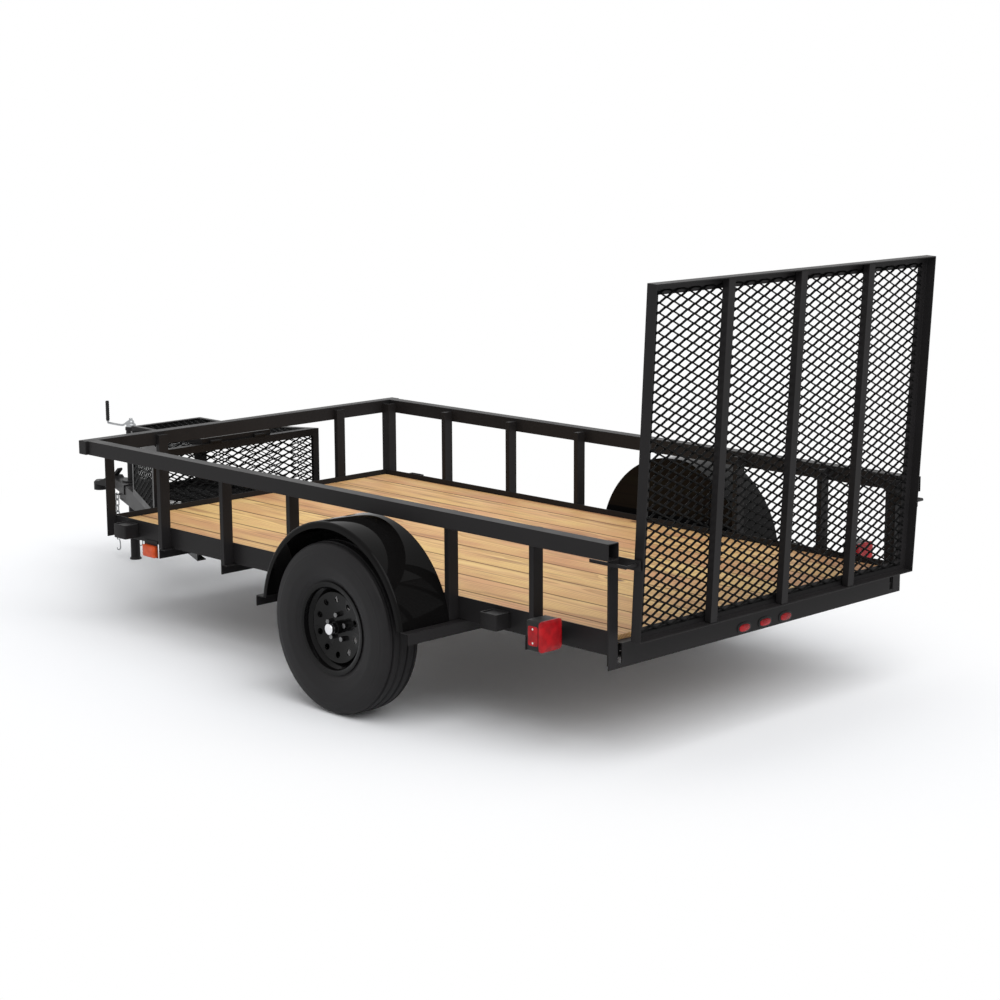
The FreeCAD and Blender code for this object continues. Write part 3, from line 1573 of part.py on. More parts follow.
# Lamps with their brackets
brackets = []
housings = []
lenses = []
markers = []
lamp_top = z.lamp_bottom + z.lamp_height
lamp_outer = z.lamp_inner + z.lamp_width
lamp_front = z.lamp_rear_station + z.lamp_depth
lens_front = z.lamp_rear_station + z.lamp_lens
marker_front = z.marker_station + z.marker_length
for name, side in SIDES:
    body = new_body("lamp_bracket_" + name)
    bracket = [
        (lamp_front, frame_half),
        (lamp_front + z.lamp_bracket_foot, frame_half),
        (lamp_front + z.lamp_bracket_foot, frame_half + z.lamp_bracket_wall),
        (lamp_front + z.lamp_bracket_wall, frame_half + z.lamp_bracket_wall),
        (lamp_front + z.lamp_bracket_wall, lamp_outer),
        (lamp_front, lamp_outer),
    ]
    pad(body, "XY", [sided(bracket, side)], z.lamp_bottom, z.lamp_bottom + z.lamp_bracket_height)
    brackets.append(body)
    body = new_body("lamp_housing_" + name)
    case = box(lens_front, z.lamp_inner, lamp_front, lamp_outer - z.lamp_side_lens)
    pad(body, "XY", [sided(case, side)], z.lamp_bottom, lamp_top)
    housings.append(body)
    body = new_body("lamp_lens_" + name)
    lens = box(z.lamp_rear_station, z.lamp_inner, lens_front, lamp_outer - z.lamp_side_lens)
    pad(body, "XY", [sided(lens, side)], z.lamp_bottom, lamp_top)
    lenses.append(body)
    body = new_body("lamp_side_lens_" + name)
    margin = z.lamp_side_margin
    glass = box(lens_front + margin, z.lamp_bottom + margin * 3, lamp_front - margin, lamp_top - margin * 2)
    start, end = span(side, lamp_outer - z.lamp_side_lens, lamp_outer)
    pad(body, "XZ", [glass], start, end)
    lenses.append(body)
    body = new_body("marker_plate_" + name)
    plate = box(z.marker_station, z.marker_bottom, marker_front, z.marker_bottom + z.marker_plate_height)
    start, end = span(side, frame_half, frame_half + z.marker_plate)
    pad(body, "XZ", [plate], start, end)
    brackets.append(body)
    body = new_body("marker_" + name)
    lens = box(z.marker_station, z.marker_bottom, marker_front, z.marker_bottom + z.marker_height)
    face = frame_half + z.marker_plate
    start, end = span(side, face, face + z.marker_depth)
    pad(body, "XZ", [lens], start, end)
    markers.append(body)
compound("lamp_brackets", brackets)
compound("tail_lamp_housings", housings)
compound("side_markers", markers)

body = new_body("id_lamps")
rings = []
half_height = z.id_lamp_height / 2
half_length = z.id_lamp_length / 2 - half_height
for count in (-1, 0, 1):
    centre = z.id_lamp_spacing * count
    low = z.id_lamp_middle - half_height
    high = z.id_lamp_middle + half_height
    rings.append([
        (centre + half_length, low, centre + half_length, z.id_lamp_middle, LEFT),
        (centre + half_length, high),
        (centre - half_length, high, centre - half_length, z.id_lamp_middle, LEFT),
        (centre - half_length, low),
    ])
pad(body, "YZ", rings, z.rear_setback - z.id_lamp_depth, z.rear_setback)
lenses.append(body)
compound("red_lenses", lenses)

# Check every object, then write the files
doc.recompute()
failed = []
for one in doc.Objects:
    if "Invalid" in one.State or "Error" in one.State:
        failed.append("%s (%s): %s" % (one.Name, one.Label, one.State))
for piece in pieces:
    if piece.Shape.isNull() or not piece.Shape.isValid():
        failed.append("%s has no sound shape" % piece.Label)
if failed:
    raise RuntimeError("; ".join(failed))
for piece in pieces:
    piece.Shape.exportStep("parts/%s.step" % piece.Label)
    print(piece.Label, len(piece.Shape.Solids), round(piece.Shape.Volume / 1000))
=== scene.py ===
# %% [markdown]
# # Dressing a utility trailer
# The construction comes from CAD: rails, frame, deck, axle, wheels, gate and basket at their
# real sizes. This lesson gives it its looks. Plain steel pieces keep their CAD shape and only
# get rounded edges and paint. Boards, tyres, fenders, expanded metal, chain, lamps and crank
# are worked out here as surfaces, with numpy, because their small forms matter to the eye.

# %% Load the frame
import json
import math
import bmesh
import bpy
import numpy as np
from mathutils import Matrix, Vector


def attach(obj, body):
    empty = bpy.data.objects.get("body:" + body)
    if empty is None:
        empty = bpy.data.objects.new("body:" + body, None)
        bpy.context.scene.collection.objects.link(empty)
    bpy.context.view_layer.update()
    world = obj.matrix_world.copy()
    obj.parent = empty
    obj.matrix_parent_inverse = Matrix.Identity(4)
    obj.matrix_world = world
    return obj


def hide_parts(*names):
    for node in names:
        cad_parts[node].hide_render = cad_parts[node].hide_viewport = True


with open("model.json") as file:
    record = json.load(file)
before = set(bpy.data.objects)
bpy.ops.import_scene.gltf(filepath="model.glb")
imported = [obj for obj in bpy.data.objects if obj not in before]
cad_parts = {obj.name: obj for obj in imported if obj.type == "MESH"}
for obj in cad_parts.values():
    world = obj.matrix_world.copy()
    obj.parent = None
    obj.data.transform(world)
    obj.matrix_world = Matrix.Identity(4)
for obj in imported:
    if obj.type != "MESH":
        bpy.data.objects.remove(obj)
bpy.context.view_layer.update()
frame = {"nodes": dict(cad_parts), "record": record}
scene = bpy.context.scene

# %% [markdown]
# All lengths below are in metres. Along the trailer it is handy to count stations from the
# rear ends of the top rails, as the maker would with a tape, so `at` turns a station into X.

# %% Stations and the camera
REAR_END = -2.480924
PHOTO_WIDTH = 1000
FOCAL_PIXELS = 2198.8
CAMERA_PLACE = (-8.208, 7.241, 2.744)
CAMERA_DEGREES = (-44.351, 10.865, -0.259)  # yaw, pitch and roll


def at(station):
    """X of a place that lies so many metres ahead of the rear ends of the top rails."""
    return REAR_END + station


def view_turn(yaw, pitch, roll):
    """Camera turn: its back is minus the line of sight, its right lies level before the roll."""
    sight = Vector((math.cos(pitch) * math.cos(yaw), math.cos(pitch) * math.sin(yaw), -math.sin(pitch)))
    level = Vector((math.sin(yaw), -math.cos(yaw), 0.0))
    above = level.cross(sight)
    right = math.cos(roll) * level + math.sin(roll) * above
    up = -math.sin(roll) * level + math.cos(roll) * above
    return Matrix((right, up, -sight)).transposed().to_4x4()


lens = bpy.data.cameras.new("studio_camera")
lens.sensor_width = 36.0
lens.lens = FOCAL_PIXELS / PHOTO_WIDTH * lens.sensor_width
lens.clip_end = 100.0
camera = bpy.data.objects.new("studio_camera", lens)
scene.collection.objects.link(camera)
turn = view_turn(*[math.radians(angle) for angle in CAMERA_DEGREES])
camera.matrix_world = Matrix.Translation(CAMERA_PLACE) @ turn
scene.camera = camera
print("camera looks along", [round(v, 3) for v in turn.to_3x3() @ Vector((0, 0, -1))])

# %% [markdown]
# ## Surfaces from grids
# Almost every new piece is a grid of points: rows along a path, columns round a profile.
# Numpy works out all points at once. `surface` only has to say which four neighbours share a
# face, and it does that for any number of equal grids in one go.

# %% Grids of points become meshes
def quads_of(rows, columns, round_rows, round_columns):
    """Corner numbers of a grid's faces: each point with its next row and next column."""
    row, column = np.meshgrid(
        np.arange(rows if round_rows else rows - 1),
        np.arange(columns if round_columns else columns - 1), indexing="ij")
    after, beside = (row + 1) % rows, (column + 1) % columns
    corners = [row * columns + column, row * columns + beside,
               after * columns + beside, after * columns + column]
    return np.stack(corners, -1).reshape(-1, 4)


def surface(name, points, round_rows=False, round_columns=False, capped=False):
    """Mesh of one grid or many. The last three axes are row, column and x, y, z."""
    points = np.asarray(points, float)
    rows, columns = points.shape[-3:-1]
    each = rows * columns
    count = points.size // (3 * each)
    starts = np.arange(count)[:, None, None] * each
    faces = (quads_of(rows, columns, round_rows, round_columns) + starts).reshape(-1, 4).tolist()
    if capped:
        ends = np.array([np.arange(columns)[::-1], each - columns + np.arange(columns)])
        faces += (ends + starts).reshape(-1, columns).tolist()
    mesh = bpy.data.meshes.new(name)
    mesh.from_pydata(points.reshape(-1, 3).tolist(), [], faces)
    return mesh


print("a round grid of 3 rows by 8 has", len(quads_of(3, 8, False, True)), "faces")

# %% [markdown]
# Pieces that are built from several grids become one mesh, and every face is turned outwards.
# A face that meets its neighbour at less than 32 degrees is shaded as part of one curve.

# %% Meshes become pieces
SMOOTH_UNDER = math.radians(32)


def joined(name, *meshes):
    """One mesh from several, with doubled points merged and every face turned outwards."""
    whole = bmesh.new()
    for mesh in meshes:
        whole.from_mesh(mesh)
    bmesh.ops.remove_doubles(whole, verts=whole.verts, dist=1e-6)
    bmesh.ops.recalc_face_normals(whole, faces=whole.faces)
    mesh = bpy.data.meshes.new(name)
    whole.to_mesh(mesh)
    whole.free()
    return mesh


def solids(name, grids):
    """One mesh of closed solids: the columns of each grid run round it, and its ends are capped."""
    return joined(name, *[surface(name, grid, round_columns=True, capped=True) for grid in grids])


def show(name, mesh, material, body, stands_for=()):
    """Put a mesh into the scene on its body, smooth except at its real edges."""
    piece = bpy.data.objects.new(name, mesh)
    scene.collection.objects.link(piece)
    mesh.shade_smooth()
    mesh.set_sharp_from_angle(angle=SMOOTH_UNDER)
    mesh.materials.clear()
    mesh.materials.append(material)
    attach(piece, body)
    if stands_for:
        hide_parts(*stands_for)
    print(name, len(mesh.polygons), "faces")
    return piece


# %% [markdown]
# Two profiles turn up again and again. Rolled steel and sawn wood never have knife edges, so
# a rectangle gets a quarter circle at each corner. Rod and wire are plain circles. A profile
# is then carried along a path, square to it all the way.

# %% Profiles and sweeps
def turns(steps):
    """Angles that divide a full turn into so many equal steps."""
    return np.arange(steps) * 2 * np.pi / steps


def around(turn):
    """Points of a circle of radius 1."""
    return np.stack([np.cos(turn), np.sin(turn)], -1)


def xyz(x, y, z):
    """Points from their x, y and z, each a number or an array that is stretched to the others."""
    return np.stack(np.broadcast_arrays(x, y, z), -1)


def rounded(width, height, radius, steps=4):
    """Rectangle with a quarter circle at each corner: four arcs of a circle, moved out."""
    turn = np.linspace(0, np.pi / 2, steps) + np.arange(4)[:, None] * np.pi / 2
    sign = np.array([(1, 1), (-1, 1), (-1, -1), (1, -1)], float)
    across = sign[:, :1] * (width / 2 - radius) + radius * np.cos(turn)
    up = sign[:, 1:] * (height / 2 - radius) + radius * np.sin(turn)
    return np.stack([across, up], -1).reshape(-1, 2)


def carried(profile, path, up, closed=False):
    """Profile along a path: path point, plus across and up of the profile, square to its run."""
    path = np.asarray(path, float)
    run = np.roll(path, -1, 0) - np.roll(path, 1, 0) if closed else np.gradient(path, axis=0)
    run /= np.linalg.norm(run, axis=1, keepdims=True)
    across = np.cross(run, up)
    across /= np.linalg.norm(across, axis=1, keepdims=True)
    upward = np.cross(across, run)
    return path[:, None] + across[:, None] * profile[..., :1] + upward[:, None] * profile[..., 1:]


def rod(path, radii, up, steps=12, closed=False):
    """Round bar: a circle about each point of the path, with one radius or one for each point."""
    radii = np.broadcast_to(radii, len(path))[:, None, None]
    return carried(around(turns(steps)) * radii, path, up, closed)


def eased(points, rounds=3):
    """Soft bends on an open path: each round cuts every inner corner at a quarter of its sides."""
    points = np.asarray(points, float)
    for _ in range(rounds):
        near = points[:-1] * 0.75 + points[1:] * 0.25
        far = points[:-1] * 0.25 + points[1:] * 0.75
        inner = np.stack([near, far], 1).reshape(-1, 3)
        points = np.concatenate([points[:1], inner, points[-1:]])
    return points


print("a rounded section has", len(rounded(0.040, 0.020, 0.003)), "points")

# %% [markdown]
# ## Effects that several finishes share
# Powder coat, rubber, plastic and zinc all show the same few effects at different strength:
# a fine skin of bumps, cloudy patches, and dust that settles where a face looks up. Each is a
# node group with named sockets, so that a material only says how much of it there is.

# %% Helpers for shader nodes
def plug(tree, node, values):
    """Give each named or numbered input of a node a value or a link."""
    for key, value in values.items():
        socket = node.inputs[key]
        if isinstance(value, bpy.types.NodeSocket):
            tree.links.new(value, socket)
        else:
            socket.default_value = value


def wire(tree, kind, values=None, **settings):
    """Add a shader node of a kind, set its options and plug its inputs."""
    node = tree.nodes.new("ShaderNode" + kind)
    for key, value in settings.items():
        setattr(node, key, value)
    plug(tree, node, values or {})
    return node


def new_group(name, inputs, outputs):
    """Empty node group with its sockets; returns the group, what it is given and its output node."""
    tree = bpy.data.node_groups.new(name, "ShaderNodeTree")
    for label, kind, value in inputs:
        socket = tree.interface.new_socket(label, in_out="INPUT", socket_type=kind)
        if value is not None:
            socket.default_value = value
    for label, kind in outputs:
        tree.interface.new_socket(label, in_out="OUTPUT", socket_type=kind)
    return tree, tree.nodes.new("NodeGroupInput").outputs, tree.nodes.new("NodeGroupOutput")


def new_material(name):
    """Material with its node tree, its Principled shader and the object's own coordinates."""
    material = bpy.data.materials.new(name)
    material.use_nodes = True
    tree = material.node_tree
    place = wire(tree, "TexCoord").outputs["Object"]
    return material, tree, tree.nodes["Principled BSDF"], place


# %% Single nodes with plain names
def maths(tree, operation, first, second=0.0, third=0.0):
    """Result of one Math node."""
    return wire(tree, "Math", {0: first, 1: second, 2: third}, operation=operation).outputs[0]


def times(tree, value, factor):
    """Product of two values."""
    return maths(tree, "MULTIPLY", value, factor)


def ramp(tree, value, low, high, at_low=0.0, at_high=1.0, soft=False):
    """Value carried from the range low to high over to another range, and held outside it."""
    return wire(tree, "MapRange", {
        "Value": value, "From Min": low, "From Max": high, "To Min": at_low, "To Max": at_high},
        interpolation_type="SMOOTHSTEP" if soft else "LINEAR").outputs[0]


def vector(tree, x, y, z):
    """Vector of three values."""
    return wire(tree, "CombineXYZ", {0: x, 1: y, 2: z}).outputs[0]


def noise(tree, place, scale, detail, rough=0.5):
    """Cloudy value between 0 and 1, about 0.5."""
    values = {"Vector": place, "Scale": scale, "Detail": detail, "Roughness": rough}
    return wire(tree, "TexNoise", values).outputs[0]


def blended(tree, share, first, second):
    """Colour between two others. A colour is a socket or three numbers."""
    first, second = ((*tone, 1.0) if isinstance(tone, tuple) else tone for tone in (first, second))
    return wire(tree, "Mix", {0: share, 6: first, 7: second}, data_type="RGBA").outputs[2]


def bumped(tree, strength, distance, height):
    """Normal that follows a height pattern."""
    return wire(tree, "Bump", {"Strength": strength, "Distance": distance, "Height": height}).outputs[0]


def upwardness(tree):
    """Z of the face's own normal: 1 on a floor, 0 on a wall, -1 on a ceiling."""
    normal = wire(tree, "NewGeometry").outputs["True Normal"]
    return wire(tree, "SeparateXYZ", {0: normal}).outputs["Z"]


FLOAT = "NodeSocketFloat"
VECTOR = "NodeSocketVector"

# %% Skin: bumps and clouds
skin, given, result = new_group(
    "skin_of_bumps",
    [("Place", VECTOR, None), ("Bump size", FLOAT, 0.002), ("Bump height", FLOAT, 0.00002),
     ("Cloud size", FLOAT, 0.2)],
    [("Clouds", FLOAT), ("Normal", VECTOR)])
fine_bumps = noise(skin, given["Place"], maths(skin, "DIVIDE", 1.0, given["Bump size"]), 2.0)
plug(skin, result, {
    "Clouds": noise(skin, given["Place"], maths(skin, "DIVIDE", 1.0, given["Cloud size"]), 4.0, 0.6),
    "Normal": bumped(skin, 1.0, given["Bump height"], fine_bumps)})

# %% Dust: settles on faces that look up, and more in patches
dust, given, result = new_group(
    "settled_dust", [("Place", VECTOR, None), ("Amount", FLOAT, 0.1)], [("Mask", FLOAT)])
patchy = ramp(dust, noise(dust, given["Place"], 9.0, 5.0, 0.65), 0.35, 0.75, 0.1, 1.0)
settling = times(dust, maths(dust, "MAXIMUM", upwardness(dust), 0.15), patchy)
plug(dust, result, {"Mask": times(dust, settling, given["Amount"])})
print("node groups:", [group.name for group in bpy.data.node_groups])

# %% [markdown]
# ## Finishes
# The steel is powder coated in satin black, the fenders are glossier. Black paint is nearly
# all reflection, so the tone stays very dark and the roughness decides how it reads. Rubber,
# moulded plastic and zinc plate follow the same recipe with other numbers.

# %% One recipe for coated, moulded and plated surfaces
DUST_TONE = (0.30, 0.27, 0.24)


def dusted(tree, place, amount):
    """Share of dust on a surface."""
    return wire(tree, "Group", {"Place": place, "Amount": amount}, node_tree=dust).outputs["Mask"]


def coated(name, tone, patch_tone, rough, patch_rough, bump_size, bump_height, dusty,
           metal=0.0, cloud_size=0.25, shine=0.2):
    """Material whose tone and roughness drift between two values, under a little dust."""
    material, tree, shader, place = new_material(name)
    bumpy = wire(tree, "Group", {
        "Place": place, "Bump size": bump_size, "Bump height": bump_height, "Cloud size": cloud_size},
        node_tree=skin).outputs
    dirt = dusted(tree, place, dusty)
    drift = ramp(tree, bumpy["Clouds"], 0.3, 0.7)
    sheen = maths(tree, "MULTIPLY_ADD", drift, patch_rough - rough, rough)
    plug(tree, shader, {
        "Base Color": blended(tree, dirt, blended(tree, drift, tone, patch_tone), DUST_TONE),
        "Roughness": maths(tree, "MULTIPLY_ADD", dirt, 0.5, sheen),
        "Normal": bumpy["Normal"], "Metallic": metal, "Specular IOR Level": shine})
    return material


frame_black = coated(
    "frame_black", (0.0150, 0.0142, 0.0146), (0.0180, 0.0168, 0.0173),
    0.34, 0.44, 0.0022, 0.00003, 0.006, shine=0.09)
fender_black = coated(
    "fender_black", (0.0040, 0.0038, 0.0038), (0.0055, 0.0052, 0.0052),
    0.03, 0.06, 0.006, 0.00001, 0.002, shine=0.06)
rim_black = coated(
    "rim_black", (0.0035, 0.0034, 0.0035), (0.0050, 0.0048, 0.0050),
    0.10, 0.18, 0.003, 0.00002, 0.003, shine=0.12)
spring_black = coated(
    "spring_black", (0.012, 0.012, 0.013), (0.024, 0.021, 0.019),
    0.45, 0.65, 0.004, 0.00010, 0.08)
mesh_black = coated(
    "mesh_black", (0.0030, 0.0030, 0.0031), (0.0042, 0.0042, 0.0043),
    0.40, 0.50, 0.003, 0.00003, 0.004, shine=0.05)
case_black = coated(
    "case_black", (0.010, 0.010, 0.010), (0.014, 0.014, 0.014),
    0.45, 0.55, 0.0012, 0.00005, 0.02)
grip_black = coated(
    "grip_black", (0.012, 0.012, 0.012), (0.016, 0.016, 0.016),
    0.50, 0.62, 0.0015, 0.00006, 0.02)
zinc_plate = coated(
    "zinc_plate", (0.42, 0.43, 0.44), (0.30, 0.31, 0.32),
    0.24, 0.40, 0.0025, 0.00004, 0.05, metal=1.0, cloud_size=0.03)
bright_cap = coated(
    "bright_cap", (0.80, 0.80, 0.81), (0.70, 0.70, 0.72),
    0.10, 0.18, 0.003, 0.00001, 0.02, metal=1.0, cloud_size=0.02)
nut_plate = coated(
    "nut_plate", (0.20, 0.20, 0.205), (0.12, 0.12, 0.12),
    0.14, 0.26, 0.003, 0.00002, 0.02, metal=1.0, cloud_size=0.02)
screw_white = coated(
    "screw_white", (0.78, 0.76, 0.76), (0.70, 0.68, 0.68),
    0.30, 0.40, 0.002, 0.00002, 0.02, cloud_size=0.02)
tyre_rubber = coated(
    "tyre_rubber", (0.0100, 0.0095, 0.0102), (0.0150, 0.0142, 0.0150),
    0.46, 0.60, 0.0011, 0.00010, 0.012, cloud_size=0.12, shine=0.16)
print("coated finishes:", len(bpy.data.materials))

# %% [markdown]
# A lamp lens is clear red or amber plastic over a reflector. The reflector's glints are a painted
# reflection: lighter and darker patches in the lens colour. The moulded prisms are a checked height
# pattern at their real pitch of about 4 mm, and their light and shade is also painted into the
# colour. A thin clear coat gives the gloss.

# %% Lamp lenses
PRISM_TURN = 1570.0  # radians per metre: one full turn in 4 mm


def lens_plastic(name, tone, deep):
    """Plastic with moulded prisms: two crossed sine ridges as a bump, with painted reflector glints and
    painted prism light and shade in its colour.
    """
    material, tree, shader, place = new_material(name)
    axes = wire(tree, "SeparateXYZ", {0: place}).outputs
    level = maths(tree, "ADD", axes["X"], axes["Y"])
    ridges = [maths(tree, "SINE", times(tree, axis, PRISM_TURN)) for axis in (level, axes["Z"])]
    prism = times(tree, *ridges)
    # painted reflection: noise patches in the colour stand for the reflector's glints behind the lens
    painted_glints = ramp(tree, noise(tree, place, 26.0, 1.0), 0.35, 0.65, 0.15, 0.75)
    plug(tree, shader, {
        # painted light and shade: the prism ridges and the painted glints move the colour between tone and
        # deep
        "Base Color": blended(tree, maths(tree, "MULTIPLY_ADD", prism, 0.22, painted_glints), tone, deep),
        "Normal": bumped(tree, 0.6, 0.0006, prism),
        "Roughness": maths(tree, "MULTIPLY_ADD", noise(tree, place, 60.0, 3.0), 0.12, 0.08),
        "Specular IOR Level": 0.12, "Coat Weight": 0.12, "Coat Roughness": 0.04})
    return material


red_lens = lens_plastic("red_lens", (0.52, 0.008, 0.013), (0.20, 0.003, 0.006))
amber_lens = lens_plastic("amber_lens", (0.72, 0.10, 0.02), (0.46, 0.045, 0.01))
print("lenses:", red_lens.name, amber_lens.name)

# %% [markdown]
# ## The deck
# The boards are flat-sawn pine. A log is a set of cones, and a flat cut through it near the
# pith shows long arches in the middle of a board and straight lines at its edges. So the
# grain here is what it is in a tree: rings about a pith line that lies under each board, a
# little wavy, cut by the board's own surface. Each board carries its own random number, and
# that moves the pith, the tint and the knots.

# %% Pine
def pine_board(name):
    """Flat-sawn pine: rings about a hidden pith, fibre streaks, tinted clouds and a few knots."""
    material, tree, shader, place = new_material(name)
    board, middle, half = (wire(tree, "Attribute", attribute_name=label).outputs["Fac"]
                           for label in ("board", "middle", "half"))
    axes = wire(tree, "SeparateXYZ", {0: place}).outputs
    # a place on a board: along it and shifted by its number, across it, and up from near its underside
    along = maths(tree, "MULTIPLY_ADD", board, 37.0, axes["X"])
    across = maths(tree, "SUBTRACT", axes["Y"], middle)
    deep = maths(tree, "SUBTRACT", axes["Z"], 0.49)

    def stretched(per_length, per_width, third):
        """Place that changes slowly along the board and quickly across it."""
        return vector(tree, times(tree, along, per_length), times(tree, across, per_width), third)

    # the trunk: its pith runs aslant below the board and bends slowly
    offset = maths(tree, "MULTIPLY_ADD", board, 0.11, -0.055)
    pith_y = maths(tree, "ADD", maths(tree, "SUBTRACT", across, offset), times(tree, along, 0.004))
    bends = noise(tree, vector(tree, times(tree, along, 0.9), board, 0.0), 1.0, 3.0)
    bend = maths(tree, "MULTIPLY_ADD", bends, 0.055, -0.0275)
    pith_z = maths(tree, "ADD", maths(tree, "ADD", deep, 0.075), bend)
    trunk = vector(tree, times(tree, along, 0.06), pith_y, pith_z)
    # knots: a point every half metre or so, where rings bend round a branch
    knots = wire(tree, "TexVoronoi", {
        "Vector": stretched(1.6, 5.0, times(tree, board, 50.0)), "Scale": 1.0}).outputs["Distance"]
    near_knot = ramp(tree, knots, 0.0, 0.22, 1.0, 0.0, soft=True)
    rings = wire(tree, "TexWave", {
        "Vector": trunk, "Scale": 26.0, "Distortion": 2.2, "Detail": 2.0, "Detail Scale": 1.2,
        "Phase Offset": maths(tree, "MULTIPLY_ADD", near_knot, 9.0, times(tree, board, 20.0))},
        wave_type="RINGS", rings_direction="X", wave_profile="SAW").outputs["Fac"]
    late = ramp(tree, rings, 0.35, 1.0, soft=True)
    # fibres and streaks run with the board, and so does the drift of its tint from straw to tan
    fibres = noise(tree, stretched(5.0, 420.0, times(tree, deep, 420.0)), 1.0, 4.0, 0.6)
    streaks = noise(tree, stretched(1.6, 20.0, times(tree, board, 40.0)), 1.0, 3.0)
    clouds = noise(tree, stretched(1.9, 9.0, times(tree, board, 30.0)), 1.0, 4.0, 0.55)
    drift = ramp(tree, clouds, 0.36, 0.64, soft=True)
    lot = maths(tree, "FRACT", times(tree, board, 7.31))
    tint = maths(tree, "ADD", times(tree, lot, 0.55), times(tree, drift, 0.45))
    dark = blended(tree, tint, (0.60, 0.34, 0.09), (0.38, 0.155, 0.065))
    # painted shade: each board darkens over its last few millimetres towards the joint, and its underside
    # is painted dark grey so that it throws no warm bounce into the shadow under the trailer
    reach = maths(tree, "SUBTRACT", maths(tree, "ABSOLUTE", across), half)
    wood = blended(tree, tint, (0.95, 0.71, 0.27), (0.66, 0.32, 0.150))
    for share, tone in (
            (times(tree, late, 0.72), dark),
            (times(tree, ramp(tree, streaks, 0.50, 0.70, soft=True), 0.66), (0.31, 0.13, 0.05)),
            (times(tree, fibres, 0.30), (0.56, 0.33, 0.15)),
            (ramp(tree, knots, 0.060, 0.120, 0.9, 0.0, soft=True), (0.13, 0.055, 0.025)),
            # painted shade towards the joints between boards
            (ramp(tree, reach, -0.0065, -0.0015, 0.0, 0.72, soft=True), (0.13, 0.060, 0.026)),
            # painted shade: a dark grey underside, so that no warm bounce from the wood reaches the floor's
            # shadow
            (ramp(tree, upwardness(tree), -0.6, -0.3, 0.9, 0.0), (0.21, 0.20, 0.195)),
            (dusted(tree, place, 0.06), DUST_TONE)):
        wood = blended(tree, share, wood, tone)
    relief = maths(tree, "MULTIPLY_ADD", fibres, 0.6, times(tree, late, 0.4))
    plug(tree, shader, {
        "Base Color": wood, "Normal": bumped(tree, 0.7, 0.0007, relief),
        "Roughness": maths(tree, "MULTIPLY_ADD", fibres, 0.2, 0.50)})
    return material


pine = pine_board("pine")

# %% [markdown]
# Each board is a rounded rectangle carried along the trailer. A real board is never quite
# straight or flat: it cups by under a millimetre and wanders sideways a little.

# %% Places of the boards
DECK_TOP = 0.530
DECK_EDGE = 0.923
BOARD_THICK = 0.038
BOARD_PITCH, BOARD_GAP = 0.219, 0.005
BOARD_ENDS = (at(0.110), at(3.550))
outer_joint = BOARD_PITCH * 3.5 + BOARD_GAP / 2
full_boards = BOARD_PITCH * np.arange(-3, 4)
half_board = (BOARD_PITCH - BOARD_GAP) / 2
near = np.concatenate([[-DECK_EDGE], full_boards - half_board, [outer_joint]])
far = np.concatenate([[-outer_joint], full_boards + half_board, [DECK_EDGE]])
middles, widths = (near + far) / 2, far - near
lots = np.random.default_rng(12).random((len(near), 3))
print("boards:", len(near), "widths in mm:", np.round(widths * 1000))


# %% Deck boards
def board_grids(steps=40):
    """Boards: rounded section times length, minus a cup of its top and a slow sideways wander."""
    along = np.linspace(*BOARD_ENDS, steps)[:, None]
    grids = []
    for middle, width, lot in zip(middles, widths, lots):
        across, height = rounded(width - 0.001, BOARD_THICK, 0.0032).T
        wander = 0.0004 * np.sin(along * 1.7 + lot[0] * 9)
        cup = 0.0007 * (1 - (2 * across / width) ** 2) * (height > 0)
        up = DECK_TOP - BOARD_THICK / 2 + height - cup
        grids.append(xyz(along, middle + across + wander, up))
    return np.array(grids)


grids = board_grids()
boards = surface("deck_boards", grids, round_columns=True, capped=True)
points_each = grids.shape[1] * grids.shape[2]
for name, values in (("board", lots[:, 1]), ("middle", middles), ("half", widths / 2)):
    attribute = boards.attributes.new(name, "FLOAT", "POINT")
    attribute.data.foreach_set("value", np.repeat(values, points_each).astype(np.float32))
show("deck_boards", boards, pine, "chassis", ("deck_planks",))

# %% [markdown]
# ## Tyres
# A trailer tyre has straight circumferential grooves between ribs, small cuts in the ribs,
# and a round shoulder. Its section is a closed line of width and height; the grooves are
# taken off the height as a function of width, the cuts as a function of width and angle.

# %% Sizes of the tyre
WHEEL_X, WHEEL_Y = at(1.453), 1.172
TYRE_RADIUS, BEAD_RADIUS = 0.3866, 0.190
TYRE_WIDTH = 0.205
# width and height of the section's corners, as shares of half the width and of the height
OUTLINE = np.array([
    (0.60, 0.0), (0.765, 0.0), (0.765, 0.105), (0.92, 0.24), (1.0, 0.47), (0.985, 0.68),
    (0.93, 0.86), (0.85, 0.945), (0.70, 0.985), (0.30, 1.0)])
LINING = np.array([(0.72, 0.84), (0.88, 0.66), (0.90, 0.46), (0.80, 0.22), (0.60, 0.05)])
OUTLINE_POINTS, LINING_POINTS = 170, 34
GROOVES_AT, GROOVE_DEPTH = (-0.60, -0.20, 0.20, 0.60), 0.0095
RINGS_AT, RING_RISE = (0.16, 0.22, 0.74), 0.0009
CUTS_PER_TURN, CUT_DEPTH = 120, 0.0024
SIDES = (("left", 1), ("right", -1))


def along_line(points, count):
    """Points evenly spread along a line of straight stretches."""
    reach = np.concatenate([[0], np.cumsum(np.linalg.norm(np.diff(points, axis=0), axis=1))])
    wanted = np.linspace(0, reach[-1], count)
    return np.stack([np.interp(wanted, reach, points[:, one]) for one in (0, 1)], -1)


def smoothed(points, rounds):
    """Average each point with its neighbours, the ends held."""
    for _ in range(rounds):
        points = points.copy()
        points[1:-1] = (points[:-2] + 2 * points[1:-1] + points[2:]) / 4
    return points


def about_axle(y, radius, turn):
    """Points about the wheels' axle: x and z follow the turn at their radius, and y is given."""
    turn = turn[:, None]
    return xyz(WHEEL_X + radius * np.cos(turn), y, TYRE_RADIUS + radius * np.sin(turn))


print("tyre", round(TYRE_RADIUS * 2000), "mm across, wheels", round(WHEEL_Y * 2000), "mm apart")


